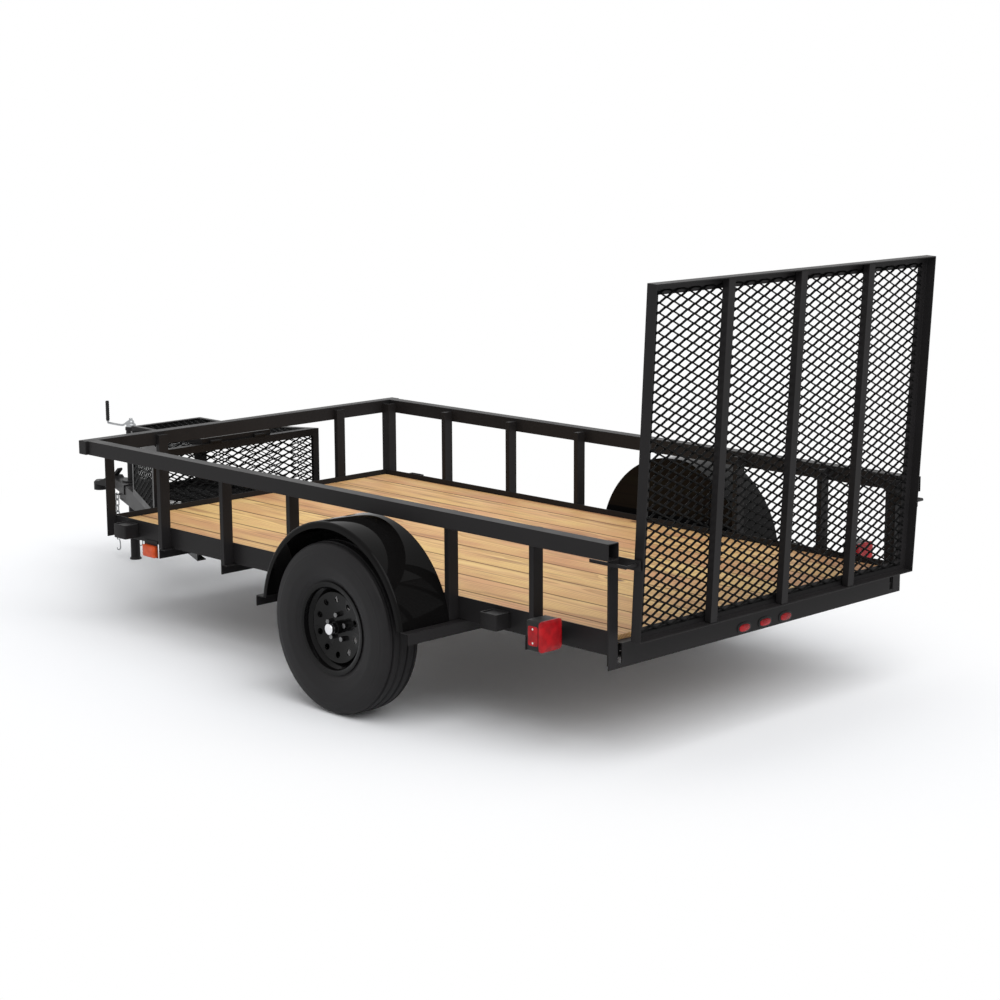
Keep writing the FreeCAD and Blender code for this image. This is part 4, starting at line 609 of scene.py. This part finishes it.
# %% Tyre surface
def tyre_surface(side, steps=240):
    """Tyre: height above the bead = outline - grooves(width) - cuts(width, angle)."""
    flip = np.array([-1.0, 1.0])
    size = np.array([TYRE_WIDTH / 2, TYRE_RADIUS - BEAD_RADIUS])
    outer = np.concatenate([OUTLINE[:-1], OUTLINE[::-1] * flip]) * size
    inner = np.concatenate([LINING * flip, LINING[::-1]]) * size
    width, height = smoothed(along_line(outer, OUTLINE_POINTS), 5).T
    inner_width, inner_height = along_line(inner, LINING_POINTS).T
    share, level = width / size[0], height / size[1]
    tread = np.clip((level - 0.955) / 0.02, 0, 1)
    grooves = sum(GROOVE_DEPTH * np.clip(1.9 - np.abs(share - one) / 0.035, 0, 1) for one in GROOVES_AT)
    rings = sum(RING_RISE * np.exp(-((level - one) / 0.016) ** 2) for one in RINGS_AT)
    side_wall = np.clip((np.abs(share) - 0.72) / 0.1, 0, 1)
    turn = turns(steps)
    cut_phase = (turn[:, None] * (CUTS_PER_TURN / 2) / np.pi + share * 1.6) % 1.0
    cuts = CUT_DEPTH * (cut_phase < 0.17) * (np.abs(np.abs(share) - 0.78) < 0.10)
    radius = BEAD_RADIUS + height - tread * (grooves + cuts)
    lining = np.broadcast_to(BEAD_RADIUS + inner_height, (steps, LINING_POINTS))
    across = np.concatenate([width + np.sign(width) * rings * side_wall, inner_width])
    across = np.clip(across, -size[0], size[0])
    return about_axle(side * WHEEL_Y + across, np.concatenate([radius, lining], 1), turn)


for name, side in SIDES:
    mesh = joined("tyre", surface("tyre", tyre_surface(side), round_rows=True, round_columns=True))
    show("tyre_tread_" + name, mesh, tyre_rubber, name + "_wheel", ("tyre_" + name,))

# %% [markdown]
# ## Fenders
# The fender is one rolled sheet with a turned-down lip, closed by a plate towards the bed.
# The lip is bent over a radius, and that bend is what catches the light.

# %% Rolled fenders
FENDER_RADIUS = 0.475
FENDER_INNER, FENDER_OUTER = 0.988, 1.265
SHEET, BEND, LIP = 0.003, 0.014, 0.030
FOOT_LEVEL = 0.455
foot = math.asin((FOOT_LEVEL - TYRE_RADIUS) / FENDER_RADIUS)


def sheet_profile():
    """Section as y and radius: flat top, quarter-circle bend, lip; then back along the inside."""
    turn = np.linspace(np.pi / 2, 0, 8)
    (outer_y, outer_r), (inner_y, inner_r) = (
        (FENDER_OUTER - BEND + reach * np.cos(turn), FENDER_RADIUS - BEND + reach * np.sin(turn))
        for reach in (BEND, BEND - SHEET))
    y = np.concatenate([
        [FENDER_INNER], outer_y, [FENDER_OUTER, FENDER_OUTER - SHEET], inner_y[::-1], [FENDER_INNER]])
    radius = np.concatenate([
        [FENDER_RADIUS], outer_r, [FENDER_RADIUS - LIP] * 2, inner_r[::-1], [FENDER_RADIUS - SHEET]])
    return y, radius


def back_plate(side, steps=64):
    """Plate between the arc and its chord: rows go round from chord to arc, columns along both."""
    turn = np.linspace(foot, np.pi - foot, steps)
    arc = (FENDER_RADIUS - SHEET / 2) * around(turn)
    chord = np.stack([arc[:, 0], np.full(steps, arc[0, 1])], -1)
    back = FENDER_INNER + SHEET
    rows = ((chord, FENDER_INNER), (arc, FENDER_INNER), (arc, back), (chord, back))
    return np.array([xyz(WHEEL_X + line[:, 0], side * y, TYRE_RADIUS + line[:, 1]) for line, y in rows])


for name, side in SIDES:
    y, radius = sheet_profile()
    arch = about_axle(side * y, radius, np.linspace(foot, np.pi - foot, 97))
    mesh = joined("fender", solids("arch", [arch]), surface("plate", back_plate(side), round_rows=True))
    show("rolled_fender_" + name, mesh, fender_black, "chassis", ("fender_" + name,))

# %% [markdown]
# ## Expanded metal
# Expanded metal is cut and pulled out of one plate. Row after row of strands zigzags across
# it, and neighbours share a knuckle where their peaks meet. Each strand is a flat bar that
# the press has tilted. So one strand is a zigzag with short flats at the knuckles, and its
# bar section leans; the whole sheet is that one formula for every row at once.

# %% Expanded metal strands
STRAND_LEAN = math.radians(38)
FLAT = 0.055  # half of a knuckle's flat, as a share of half a diamond's length


def expanded(origin, axes, low, high, limits, long_way, short_way, width, thick):
    """Strand k: height = low + (k - 0.5) half diamonds + (-1)^k times a clipped triangle wave."""
    half_step = short_way / 2
    row = np.arange(int(np.ceil((high - low) / half_step)) + 1)[:, None]
    base = low + (row - 0.5) * half_step
    start, end = limits(base)
    cells = int(np.ceil(np.max(end - start) / long_way * 2)) + 2
    corners = np.array([FLAT, 0.5 - FLAT / 3, 0.5 + FLAT / 3, 1 - FLAT])
    marks = (np.arange(cells)[:, None] + corners).reshape(-1)
    first = np.floor(np.min(start) / (long_way / 2))
    u = np.clip((first + marks) * long_way / 2, start, end)
    triangle = np.abs(u / long_way % 1.0 * 2 - 1) * 2 - 1
    zigzag = np.where(row % 2 == 0, 1.0, -1.0) * np.clip(triangle / (1 - 2 * FLAT), -1, 1)
    v = np.clip(base + zigzag * half_step / 2, low, high)
    bar = np.array([(-1, -1), (1, -1), (1, 1), (-1, 1)], float) * (width / 2, thick / 2)
    bar_v = bar[:, 0] * math.cos(STRAND_LEAN) - bar[:, 1] * math.sin(STRAND_LEAN)
    bar_out = bar[:, 0] * math.sin(STRAND_LEAN) + bar[:, 1] * math.cos(STRAND_LEAN)
    v = np.clip(v[..., None] + bar_v, low, high)
    out = (zigzag * thick * 0.35)[..., None] + bar_out
    return origin + xyz(u[..., None], v, out) @ np.asarray(axes)


def steady(low, high):
    """Limits that are the same for every strand."""
    return lambda base: (np.full_like(base, low), np.full_like(base, high))


# %% [markdown]
# The gate leans back by 2.92 degrees, so its mesh is worked out in the gate's own directions:
# across the trailer, up the leaf and square to it.

# %% Gate mesh
GATE_LEAN = math.radians(2.92)
GATE_HALF, GATE_LOW, GATE_HIGH = 0.881, 0.030, 1.406
MESH_DEPTH = 0.0415  # from the leaf's rear face
coarse = dict(long_way=0.086, short_way=0.039, width=0.0102, thick=0.0026)
leaf_up = np.array([-math.sin(GATE_LEAN), 0.0, math.cos(GATE_LEAN)])
leaf_front = np.array([math.cos(GATE_LEAN), 0.0, math.sin(GATE_LEAN)])
leaf_foot = np.array([at(-0.057), 0.0, 0.531])
gate_panel = expanded(
    leaf_foot + leaf_front * MESH_DEPTH, ((0, 1, 0), leaf_up, leaf_front), GATE_LOW, GATE_HIGH,
    steady(-GATE_HALF, GATE_HALF), **coarse)
show("gate_expanded_metal", solids("gate", [gate_panel]), mesh_black, "gate", ("gate_mesh",))

# %% [markdown]
# The basket is a trapezium in plan: its sides run in towards the jack. The strands of its
# floor and of the two fixed parts of its top are shortened to that outline, row by row, by
# their limits. The lid between them is a plain rectangle.

# %% Basket mesh
BASKET_REAR, BASKET_FRONT = at(3.715), at(4.385)
BASKET_HALF = 0.567
WALL_LOW, WALL_HIGH = 0.479, 0.794
FLOOR_LEVEL, TOP_LEVEL, LID_LEVEL = 0.4612, 0.8118, 0.8402
MESH_HALF, LID_HALF = 0.545, 0.221
MESH_SET = 0.0062  # how far the mesh lies inside a wall
EDGE_INSET, SIDE_INSET, POST = 0.012, 0.024, 0.040
LEVEL = ((1, 0, 0), (0, 1, 0), (0, 0, 1))
UPRIGHT = ((0, 1, 0), (0, 0, 1), (1, 0, 0))
fine = dict(long_way=0.090, short_way=0.038, width=0.0090, thick=0.0020)
inward = math.tan(math.radians(26.36))
front_half = BASKET_HALF - (BASKET_FRONT - BASKET_REAR) * inward
run = np.array([BASKET_FRONT - BASKET_REAR, front_half - BASKET_HALF, 0.0])
side_length = np.linalg.norm(run)
run /= side_length


def plan_limits(front):
    """Strands run forward to the front limit, or to where they meet the basket's slanting side."""
    rear = BASKET_REAR + EDGE_INSET

    def limits(base):
        slant = BASKET_REAR + (BASKET_HALF - SIDE_INSET - np.abs(base)) / inward
        return np.full_like(base, rear), np.clip(slant, rear + 0.002, front)
    return limits


panels = [
    expanded((x, 0, 0), UPRIGHT, WALL_LOW, WALL_HIGH, steady(POST - half, half - POST), **fine)
    for x, half in ((BASKET_REAR + MESH_SET, BASKET_HALF), (BASKET_FRONT - MESH_SET, front_half))]
panels.append(expanded(
    (0, 0, FLOOR_LEVEL), LEVEL, -MESH_HALF, MESH_HALF, plan_limits(BASKET_FRONT - EDGE_INSET), **fine))
for side in (1, -1):
    inner = np.array([run[1], -run[0] * side, 0.0])
    corner = np.array([BASKET_REAR, BASKET_HALF * side, 0.0])
    panels.append(expanded(
        corner + inner * MESH_SET, (run * (1, side, 1), (0, 0, 1), inner), WALL_LOW, WALL_HIGH,
        steady(POST, side_length - POST), **fine))
    panels.append(expanded(
        (0, 0, TOP_LEVEL), LEVEL, *sorted((side * LID_HALF, side * MESH_HALF)), plan_limits(at(4.305)),
        **fine))
lid_panel = expanded((0, 0, LID_LEVEL), LEVEL, -LID_HALF, LID_HALF, steady(at(3.745), at(4.361)), **fine)
show("basket_expanded_metal", solids("basket", panels), mesh_black, "chassis",
     ("basket_mesh",))
show("lid_expanded_metal", solids("lid", [lid_panel]), mesh_black, "basket_lid",
     ("lid_mesh",))

# %% [markdown]
# ## Lamps
# The tail lamps are square boxes with a domed lens at the back and a smaller one at the
# outer side. A dome is a rounded square whose height falls off with a high power of the
# distance from its middle: flat in the middle, steep at the rim. Three small oval lamps sit
# in the rear sill, each in a rim of its own.

# %% Domed lenses
LAMP_MIDDLE, LAMP_HEIGHT = 1.0575, 0.526
LAMP_BACK, SIDE_LENS_X = at(0.314), at(0.352)
SMALL_LAMPS, SMALL_HEIGHT = (-0.140, 0.0, 0.140), 0.440
REARWARD = ((0, 1, 0), (0, 0, 1), (-1, 0, 0))


def outward(side):
    """Axes of a lens at the trailer's side: along it, up and out."""
    return (1, 0, 0), (0, 0, 1), (0, side, 0)


def dome(centre, axes, width, height, rise, base, power, square, dish=0.0, rows=14, columns=48):
    """Dome on a superellipse: base + (rise - base) (1 - r^power), less a pyramid `dish` deep."""
    ring = around(turns(columns))
    rim_u, rim_v = (np.sign(ring) * np.abs(ring) ** (2 / square) * (width / 2, height / 2)).T
    reach = np.linspace(0.15, 1.0, rows)
    r = np.concatenate([[1e-4], reach, [1.0, 1e-4]])[:, None]
    u, v = r * rim_u, r * rim_v
    lift = np.concatenate([[rise], base + (rise - base) * (1 - reach ** power), [0.0, 0.0]])[:, None]
    slope = np.maximum(np.abs(u) / width, np.abs(v) / height) * 2
    lift = lift - dish * np.clip(1 - slope / 0.8, 0, 1) * (lift > 0)
    return centre + xyz(u, v, lift) @ np.asarray(axes)


lenses, screws, rims = [], [], []
for side in (1, -1):
    lenses.append(dome((LAMP_BACK, side * LAMP_MIDDLE, LAMP_HEIGHT), REARWARD,
                       0.130, 0.130, 0.0138, 0.006, 6.0, 9.0, dish=0.005))
    lenses.append(dome((SIDE_LENS_X, side * 1.1135, LAMP_HEIGHT), outward(side),
                       0.056, 0.082, 0.0044, 0.003, 6.0, 8.0))
    screws += [dome((SIDE_LENS_X, side * 1.1172, height), outward(side),
                    0.009, 0.009, 0.0022, 0.001, 2.0, 2.0, rows=4, columns=16) for height in (0.497, 0.555)]
for y in SMALL_LAMPS:
    lenses.append(dome((at(0.050), y, SMALL_HEIGHT), REARWARD, 0.070, 0.031, 0.0078, 0.002, 2.2, 2.4))
    rims.append(dome((at(0.054), y, SMALL_HEIGHT), REARWARD, 0.090, 0.046, 0.0050, 0.003, 5.0, 2.6))
show("domed_red_lenses", solids("lenses", lenses), red_lens, "chassis", ("red_lenses",))
show("lens_screws", solids("screws", screws), screw_white, "chassis")
show("lamp_bezels", solids("bezels", rims), case_black, "chassis")

# %% [markdown]
# Each lamp box is a rounded tray that narrows a little at both ends. The amber side markers
# are small domed blocks with a base plate.

# %% Lamp boxes and side markers
BOX_STATIONS = (0.3142, 0.318, 0.386, 0.3898)
BOX_SIZES = np.array([0.985, 1.0, 1.0, 0.97])[:, None, None]
boxes = [
    carried(rounded(0.1150, 0.1278, 0.010, 5) * BOX_SIZES,
            [(at(one), side * LAMP_MIDDLE, LAMP_HEIGHT) for one in BOX_STATIONS], (0, 0, 1))
    for side in (1, -1)]
show("tail_lamp_boxes", solids("boxes", boxes), case_black, "chassis", ("tail_lamp_housings",))
markers = [dome((at(3.235), side * 0.936, 0.416), outward(side), 0.109, 0.061, 0.0218, 0.014, 6.0, 9.0)
           for side in (1, -1)]
show("domed_side_markers", solids("markers", markers), amber_lens, "chassis",
     ("side_markers",))

# %% [markdown]
# ## Safety chains
# Chain links are wire bent to a stadium: two straight legs and two half circles. Every other
# link is turned by a quarter. The slip hook at the end is the same wire, bent to an eye and
# an open throat below it, and thinner at its tip.

# %% Chain links
WIRE = 0.0035
LINKS, LINK_PITCH = 7, 0.0347
LINK_BEND, LINK_HALF = 0.0065, 0.0175
CHAIN_X, CHAIN_Y, BOLT_LEVEL = at(4.772), 0.078, 0.385
first_link = BOLT_LEVEL + 0.005 - LINK_HALF


def link(side, number, steps=28):
    """Stadium: a circle whose upper half is lifted and lower half lowered by the straight leg."""
    wide, high = (LINK_BEND + WIRE) * around(turns(steps) + np.pi / steps).T
    high = high + np.sign(high) * (LINK_HALF - LINK_BEND)
    x, y, square = (wide, 0, (0, 1, 0)) if number % 2 == 0 else (0, wide, (1, 0, 0))
    middle = np.array([CHAIN_X, side * CHAIN_Y, first_link - LINK_PITCH * number])
    return rod(middle + xyz(x, y, high), WIRE, square, 8, closed=True)


links = surface("links", [link(side, number) for side in (1, -1) for number in range(LINKS)],
                round_rows=True, round_columns=True)
print("chain links:", 2 * LINKS)


# %% Hooks and bolts
def hook(side):
    """Slip hook: arc of the eye, shank, then arc of the throat; its rod thins to the tip."""
    eye_turn = np.linspace(np.radians(-60), np.radians(250), 16)
    bend_turn = np.linspace(np.pi, 2.15 * np.pi, 14)
    line = np.concatenate([
        0.0100 * around(eye_turn), [(-0.0085, -0.022), (-0.0098, -0.040)],
        (0.0015, -0.059) + 0.0115 * around(bend_turn)])
    path = xyz(CHAIN_X, side * CHAIN_Y + line[:, 0], first_link - LINK_PITCH * LINKS + line[:, 1])
    thick = np.interp(np.linspace(0, 1, len(path)), [0, 0.55, 0.85, 1.0], [0.0034, 0.0035, 0.0035, 0.0015])
    return rod(path, thick, (1, 0, 0), 10)


bars = []
for side in (1, -1):
    bolt, head = (
        [(CHAIN_X, side * y, BOLT_LEVEL) for y in places]
        for places in ((0.0621, 0.070, 0.0848), (0.0850, 0.0860, 0.0910, 0.0918)))
    bars += [hook(side), rod(bolt, 0.0049, (0, 0, 1), 14),
             rod(head, 0.0099 * np.array([0.92, 1.0, 1.0, 0.85]), (0, 0, 1), 6)]
show("linked_chains", joined("chains", links, solids("bars", bars)), zinc_plate, "chassis",
     ("safety_chains",))

# %% [markdown]
# ## Jack crank
# The crank is a plated rod, bent twice, with a moulded sleeve to hold. Its bends come from
# cutting the corners of a plain path a few times over. The jack's head, the boss and the
# sleeve are bars that stand upright, with a radius for each height.

# %% Crank, jack head and grip
JACK_X, GRIP_X = at(4.720), at(4.952)
JACK_HEAD = np.array([
    (0.7794, 0.0272), (0.7805, 0.0280), (0.7920, 0.0280), (0.7952, 0.0262), (0.7990, 0.0200),
    (0.8100, 0.0180), (0.8160, 0.0150), (0.8190, 0.0100)])  # height and radius
RIB_PITCH = 0.0117


def upright(x, heights, radii, steps):
    """Round bar that stands upright: one radius for each height."""
    return rod([(x, 0, height) for height in heights], radii, (1, 0, 0), steps)


arm = eased([
    (JACK_X - 0.010, 0, 0.816), (JACK_X + 0.006, 0, 0.817), (at(4.790), 0, 0.783), (at(4.812), 0, 0.777),
    (GRIP_X - 0.02, 0, 0.777), (GRIP_X, 0, 0.777), (GRIP_X, 0, 0.796), (GRIP_X, 0, 0.900)])
boss = upright(JACK_X, (0.7792, 0.7815, 0.824, 0.8285), 0.0108 * np.array([0.9, 1.0, 1.0, 0.8]), 20)
heights = np.linspace(0.7895, 0.9065, 40)
ribs = 0.0104 + 0.0009 * np.cos((heights - heights[0]) * 2 * np.pi / RIB_PITCH)
ribs[[0, -1]] = 0.0085
show("crank_rod", solids("crank", [rod(arm, 0.0062, (0, 1, 0)), boss]), zinc_plate, "chassis",
     ("jack_crank",))
show("jack_head", solids("head", [upright(JACK_X, *JACK_HEAD.T, 32)]), zinc_plate, "chassis")
show("crank_grip", solids("grip", [upright(GRIP_X, heights, ribs, 20)]), grip_black, "chassis")

# %% [markdown]
# ## Fasteners
# Deck screws sit in two rows on every board, one pair over each cross-member. A screw head is
# a shallow dome with a sunk middle; all of them share one small grid.

# %% Deck screws
def screw_heads(places, radius, rise, steps=10):
    """Shallow domes: each ring of a head has its share of the radius and of the rise."""
    x, y = around(turns(steps)).T * radius
    reach = np.array([1.0, 1.0, 0.85, 0.45, 0.35, 0.02])[:, None]
    lift = np.array([-0.0006, 0.2, 0.6, 1.0, 0.1, 0.1])[:, None] * rise
    return places[:, None, None] + xyz(reach * x, reach * y, lift)


screw_y = np.concatenate([middles - widths * 0.33, middles + widths * 0.33])
spots = xyz(np.linspace(at(0.131), at(3.520), 7), screw_y[:, None], DECK_TOP - 0.0009).reshape(-1, 3)
show("deck_screws", solids("screws", [screw_heads(spots, 0.0042, 0.0008)]), spring_black, "chassis")

# %% [markdown]
# ## Steel from the CAD
# Rails, posts, frame, tongue, gate frame and the small fittings already have their right
# shape. Only their edges are too sharp to be steel: real edges are rounded and draw a thin
# light line. A copy of each node gets its corners merged, flat faces joined, and a narrow
# Bevel modifier. The CAD node itself is left as it is and hidden.

# %% Rounded copies of CAD steel
body_of = {node: body for body, nodes in frame["record"]["behaviour"]["bodies"].items() for node in nodes}
slot_of = {entry["node"]: entry["material_slot"] for entry in frame["record"]["subparts"]}
EASED = {
    frame_black: (
        (0.0035, "top_rail_left top_rail_right top_rail_front"),
        (0.0025, "rail_posts_left rail_posts_right rail_posts_front"),
        (0.0018, "side_rail_left side_rail_right front_frame_angle rear_sill"),
        (0.0015, "deck_crossmembers tongue_crossmembers fender_supports"),
        (0.0018, "tongue_leg_left tongue_leg_right"),
        (0.0020, "coupler"),
        (0.0025, "coupler_latch"),
        (0.0015, "jack_tube jack_leg"),
        (0.0016, "gate_frame gate_dividers"),
        (0.0012, "gate_hinge_lugs"),
        (0.0016, "gate_latches"),
        (0.0012, "basket_frame lid_frame lamp_brackets")),
    spring_black: ((0.0015, "axle_beam"), (0.0012, "leaf_springs spring_fittings")),
    rim_black: ((0.0015, "rim_left rim_right"), (0.0012, "hub_left hub_right"))}


def eased_copy(node, material, width):
    """Merged copy of a CAD node with a bevel on every edge sharper than the smooth angle."""
    whole = bmesh.new()
    whole.from_mesh(frame["nodes"][node].data)
    bmesh.ops.remove_doubles(whole, verts=whole.verts, dist=2e-6)
    bmesh.ops.dissolve_limit(whole, angle_limit=math.radians(0.5), verts=whole.verts, edges=whole.edges)
    mesh = bpy.data.meshes.new(node)
    whole.to_mesh(mesh)
    whole.free()
    piece = show(node + "_eased", mesh, material, body_of[node], (node,))
    bevel = piece.modifiers.new("rounded_edges", "BEVEL")
    bevel.width = width
    bevel.segments = 2
    bevel.limit_method = "ANGLE"
    bevel.angle_limit = SMOOTH_UNDER
    bevel.harden_normals = True


for material, rows in EASED.items():
    for width, nodes in rows:
        for node in nodes.split():
            eased_copy(node, material, width)

# %% [markdown]
# The wheel nuts are plated, and they are picked out of the hub by their distance from the
# axle: they sit on a circle of 57 mm. The grease cap in the middle of each wheel is pressed
# from bright metal, so it is a bar along the axle with a radius for each step.

# %% Bright caps and plated nuts
NUTS_FROM, NUTS_TO = 0.040, 0.075
CAP = np.array([
    (1.2560, 0.0252), (1.2690, 0.0252), (1.2712, 0.0240), (1.2724, 0.0200), (1.2732, 0.0120),
    (1.2735, 0.0030)])  # distance from the middle plane, and radius
for name, side in SIDES:
    hub = bpy.data.objects["hub_" + name + "_eased"]
    hub.data.materials.append(nut_plate)
    middle = np.zeros(len(hub.data.polygons) * 3)
    hub.data.polygons.foreach_get("center", middle)
    apart = np.hypot(middle[0::3] - WHEEL_X, middle[2::3] - TYRE_RADIUS)
    nuts = (apart > NUTS_FROM) & (apart < NUTS_TO)
    hub.data.polygons.foreach_set("material_index", nuts.astype(np.int32))
    cap = rod([(WHEEL_X, side * y, TYRE_RADIUS) for y in CAP[:, 0]], CAP[:, 1], (0, 0, 1), 40)
    show("bright_cap_" + name, solids("cap", [cap]), bright_cap, name + "_wheel")

# %% [markdown]
# Pockets stand off the side rails near both ends, bent from flat bar and welded on. They show
# a closed top in the picture, so each is a rounded square ring with a lid set a little lower.

# %% Stake pockets
POCKET_MIDDLE = 0.976
POCKET_ROWS = (
    (0.088, 0.470), (0.096, 0.470), (0.100, 0.472), (0.100, 0.539), (0.097, 0.541), (0.089, 0.541),
    (0.087, 0.539), (0.086, 0.536))  # size and height


def pocket_grid(station, side):
    """Rounded square outlines stacked up the wall, over its rim and down to the lid: one row each."""
    centre = (at(station), side * POCKET_MIDDLE)
    return np.array([
        xyz(*(rounded(size, size - 0.013, 0.008, 5) + centre).T, height) for size, height in POCKET_ROWS])


pockets = [pocket_grid(station, side) for station in (0.715, 3.385) for side in (1, -1)]
show("stake_pockets", solids("pockets", pockets), frame_black, "chassis")

# %% [markdown]
# Every CAD node keeps a finish of its own as well, hidden or not, so that the bare model is
# never plain.

# %% Finishes on the CAD nodes
FINISH_OF_SLOT = {
    "black_paint": frame_black, "fender_black": fender_black, "pine": pine, "tyre_rubber": tyre_rubber,
    "rim_black": rim_black, "hub_metal": rim_black, "spring_steel": spring_black, "jack_metal": zinc_plate,
    "chain_metal": zinc_plate, "red_lens": red_lens, "amber_lens": amber_lens, "lamp_case": case_black}
for node, piece in frame["nodes"].items():
    piece.data.materials.clear()
    piece.data.materials.append(FINISH_OF_SLOT[slot_of[node]])
print("finished nodes:", len(frame["nodes"]))

# %% [markdown]
# ## Floor and light
# The trailer stands in a white studio. The floor takes a soft shadow near the trailer and
# turns to plain white further out, so that no horizon shows. Light comes from a wide soft
# ceiling, leaning to the rear of the trailer as the shadow does, and from the world.

# %% Studio floor
WHITE = (1.0, 1.0, 1.0, 1.0)
FLOOR_REACH = 30.0


def seen_by(tree, *rays):
    """1 for the kinds of ray that are named, 0 for others."""
    path = wire(tree, "LightPath").outputs
    seen = path[rays[0]]
    for ray in rays[1:]:
        seen = maths(tree, "MAXIMUM", seen, path[ray])
    return seen


def studio_floor():
    """Diffuse pale floor that turns to plain white outside an oval about the trailer."""
    material, tree, shader, place = new_material("studio_floor")
    plug(tree, shader, {
        "Base Color": (0.955, 0.965, 0.985, 1.0), "Roughness": 0.75, "Specular IOR Level": 0.15})
    oval = wire(tree, "VectorMath", {0: place, 1: (0.57, 1.0, 1.0)}, operation="MULTIPLY").outputs[0]
    distance = wire(tree, "VectorMath", {0: oval}, operation="LENGTH").outputs["Value"]
    away = ramp(tree, distance, 1.5, 2.7, soft=True)
    share = times(tree, seen_by(tree, "Is Camera Ray", "Is Glossy Ray"), away)
    white = wire(tree, "Emission", {"Color": WHITE, "Strength": 1.0}).outputs[0]
    mixed = wire(tree, "MixShader", {0: share, 1: shader.outputs[0], 2: white}).outputs[0]
    plug(tree, tree.nodes["Material Output"], {"Surface": mixed})
    return material


corners = np.array([[(-1, -1, 0), (1, -1, 0)], [(-1, 1, 0), (1, 1, 0)]]) * FLOOR_REACH
floor_mesh = surface("studio_floor", corners)
floor_mesh.materials.append(studio_floor())
floor = bpy.data.objects.new("studio_floor", floor_mesh)
scene.collection.objects.link(floor)
print("floor reaches", FLOOR_REACH, "m each way")

# %% Lamps and world
FILL = 0.60
world = bpy.data.worlds.new("studio")
scene.world = world
world.use_nodes = True
tree = world.node_tree
tree.nodes.clear()
fill, white = (
    wire(tree, "Background", {"Color": WHITE, "Strength": strength}).outputs[0]
    for strength in (FILL, 1.0))
seen = seen_by(tree, "Is Camera Ray", "Is Glossy Ray", "Is Transmission Ray")
mixed = wire(tree, "MixShader", {0: seen, 1: fill, 2: white}).outputs[0]
wire(tree, "OutputWorld", {"Surface": mixed})


def soft_sun(name, place, spread, energy):
    """Even light from far away, as wide as a studio ceiling, that shines from a place to the origin."""
    lamp = bpy.data.lights.new(name, "SUN")
    lamp.angle = math.radians(spread)
    lamp.energy = energy
    holder = bpy.data.objects.new(name, lamp)
    holder.location = place
    holder.rotation_euler = (-Vector(place)).to_track_quat("-Z", "Y").to_euler()
    scene.collection.objects.link(holder)


soft_sun("studio_ceiling", (-3.5, 1.0, 5.0), 55.0, 1.85)
scene.view_settings.view_transform = "Standard"
print("lamps:", [lamp.name for lamp in bpy.data.lights])
